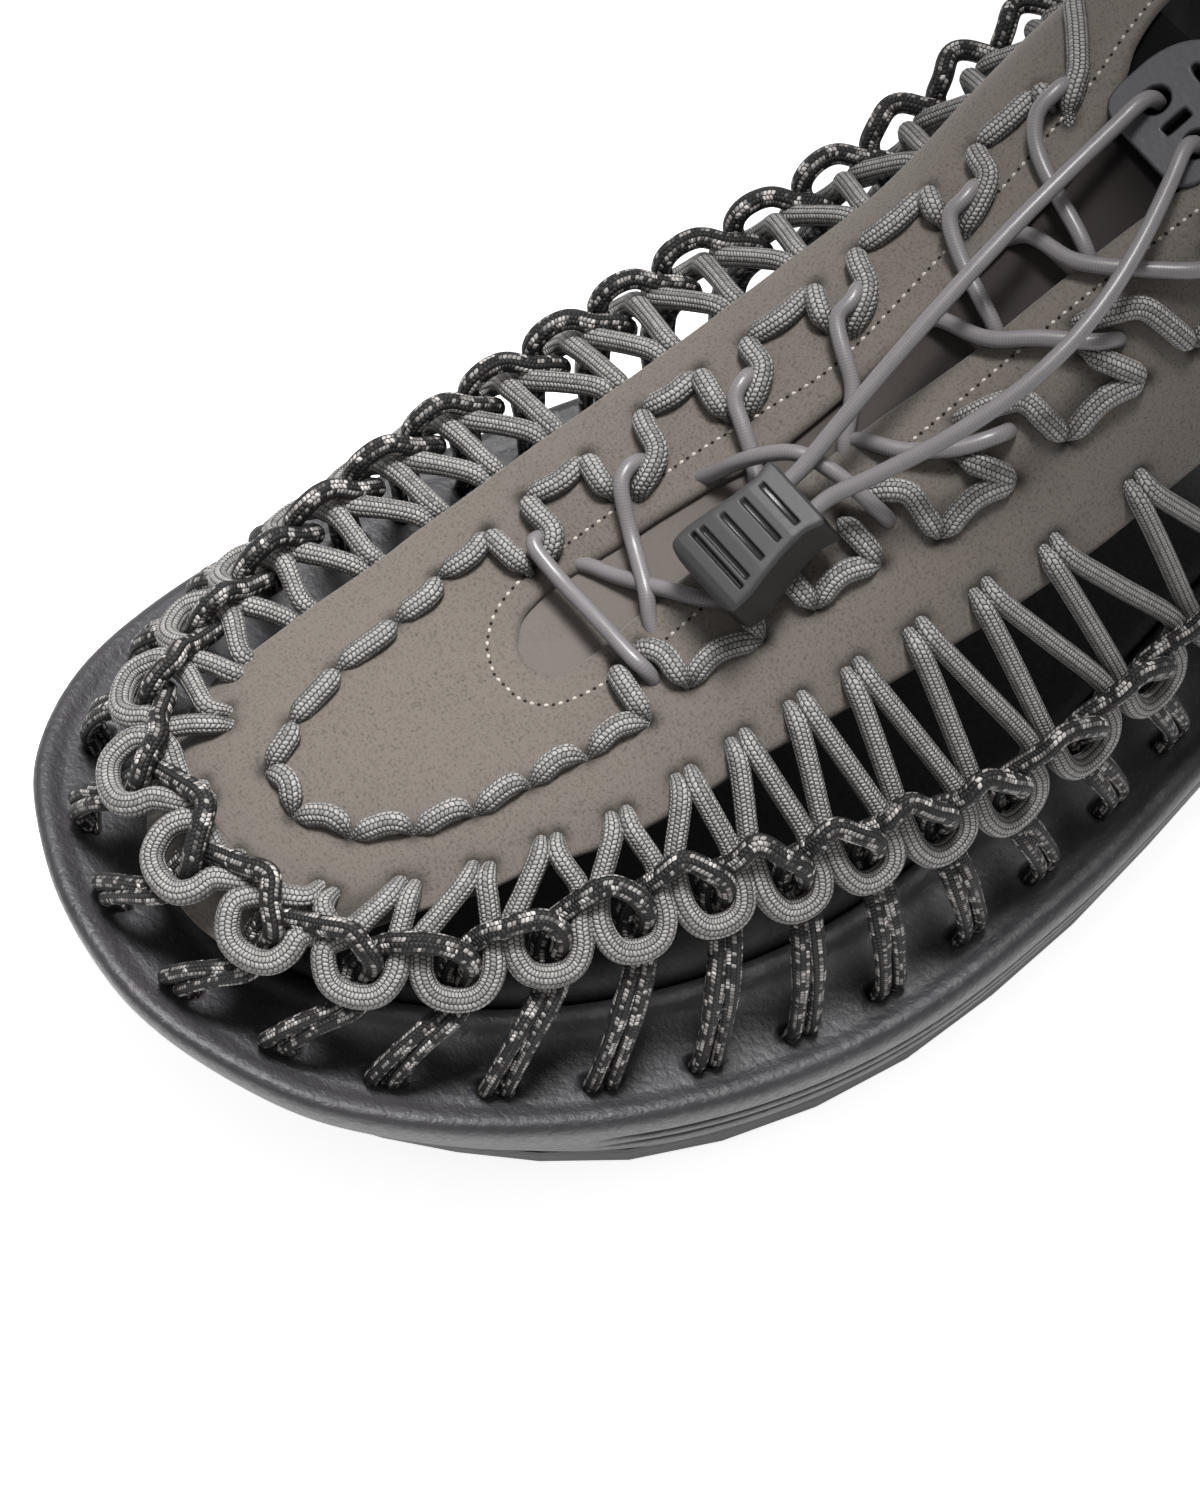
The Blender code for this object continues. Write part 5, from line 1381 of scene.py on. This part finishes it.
# %% Throat seam
cream_thread = mottled("cream_thread", (0.30, 0.27, 0.24), (0.52, 0.48, 0.43), (2500.0, 2.0), (0.3, 0.0001),
                       Roughness=0.6)
seam_u = np.linspace(-204, 204, 900)
seam_s = look_up(SEAM, 1, seam_u)
seam_out = last_normal(seam_u, np.minimum(seam_s, 1.0))
seam_line = skin(seam_u, seam_s, 0.05)
throat_bars = stitches(seam_line, seam_out, 1.00, 1.00, 0.25, 0.0)
lay("throat_stitches", throat_bars, cream_thread)

# %% Heel seams
HEEL_STITCH = dict(long=1.5, gap=0.9, thick=0.28, start=0.0)
PROUD = 0.05
side_s = np.linspace(0.66, 0.97, 80)
seams = []
for side_u in (-211.0, 211.0):
    seams += stitches(skin(side_u, side_s, PROUD), last_normal(side_u, side_s), **HEEL_STITCH)
round_back = round_heel(VAMP_REAR + 4, 400)
for height in (0.86, 0.89):
    line = skin(round_back, height, cup_bump(round_back, height) + PROUD)
    seams += stitches(line, last_normal(round_back, height), **HEEL_STITCH)
lay("heel_stitches", seams, cream_thread)

# %% Needle holes, painted shade
# Dark bars between the stitches: painted shade in the needle holes.
needle_shade_bars = stitches(seam_line, seam_out, 0.95, 1.05, 0.24, 0.95)
needle_shade_finish = mottled("needle_shade_finish", (0.006, 0.005, 0.005), (0.030, 0.026, 0.024), (2500.0, 2.0),
                      Roughness=0.95, Specular_IOR_Level=0.05)
lay("needle_hole_shade", needle_shade_bars, needle_shade_finish)

# %% [markdown]
# ## Floor, light and camera
# The picture has a plain white ground and soft light from all round, with one broad lamp overhead that
# leaves the toe's front slope darker. A bright world gives the soft light, a faintly glowing floor the
# white ground, and a disk lamp the rest. The camera stands where the picture was taken: 52.8 degrees
# round to the outer side and 62 degrees up, with a long lens; its place follows from those angles.

# %% Floor
def floor_finish(name):
    """White with a little light of its own, the same all over."""
    f = Finish(name)
    return f.coat(Base_Color=(0.92, 0.92, 0.92, 1.0), Roughness=0.9, Emission_Color=(1.0, 1.0, 1.0, 1.0),
                  Emission_Strength=0.75)


ground = bpy.data.meshes.new("floor")
ground.from_pydata([(-4, -4, 0), (4, -4, 0), (4, 4, 0), (-4, 4, 0)], [], [(0, 1, 2, 3)])
ground.materials.append(floor_finish("pale_floor"))
floor = put("floor", ground)
print("floor laid")


# %% Light
def facing(place, right, upright, toward):
    """Matrix of a thing at a place: its right, up and backward directions are the columns."""
    pose = np.eye(4)
    pose[:3, :3] = np.stack([right, upright, toward], 1)
    pose[:3, 3] = place
    return Matrix(pose.tolist())


world = bpy.data.worlds.new("studio")
bpy.context.scene.world = world
world.use_nodes = True
sky = world.node_tree.nodes["Background"].inputs
sky["Color"].default_value = (1.0, 1.0, 1.0, 1.0)
sky["Strength"].default_value = 0.44


def soft_light(name, place, aim, size, power, spread):
    """A disk lamp at a place that looks along the line to its aim."""
    lamp = bpy.data.lights.new(name, "AREA")
    lamp.spread = np.radians(spread)
    lamp.shape = "DISK"
    lamp.size = size
    lamp.energy = power
    away = unit_vector(np.array(place) - np.array(aim))
    right = unit_vector(np.cross([0.0, 0.12, 0.99], away))
    put(name, lamp).matrix_world = facing(place, right, np.cross(away, right), away)


soft_light("key", (-0.09, -0.03, 0.56), (-0.008, -0.120, 0.04), 0.26, 0.37, 25.0)
bpy.context.scene.view_settings.view_transform = "Standard"
print("lamps:", len(bpy.data.lights))

# %% Camera
AZIMUTH, ELEVATION, ROLL = np.radians([52.80, 62.16, 2.08])
TARGET = np.array([8.45, -68.95, 40.0])
DISTANCE = 590.2
FOCAL_PIXELS = 4219.3
FRAME_PIXELS = 1500.0
toward = np.array([np.sin(AZIMUTH), -np.cos(AZIMUTH), 0.0]) * np.cos(ELEVATION)
toward[2] = np.sin(ELEVATION)
level = np.array([np.cos(AZIMUTH), np.sin(AZIMUTH), 0.0])
upward = np.cross(toward, level)
lens = bpy.data.cameras.new("camera")
lens.sensor_width = 36.0
lens.lens = FOCAL_PIXELS * lens.sensor_width / FRAME_PIXELS
lens.clip_start = 0.01
camera = put("camera", lens)
camera.matrix_world = facing((TARGET + toward * DISTANCE - CENTRE) * 0.001,
                             level * np.cos(ROLL) + upward * np.sin(ROLL),
                             upward * np.cos(ROLL) - level * np.sin(ROLL), toward)
bpy.context.scene.camera = camera
print("lens, mm:", round(lens.lens, 1))
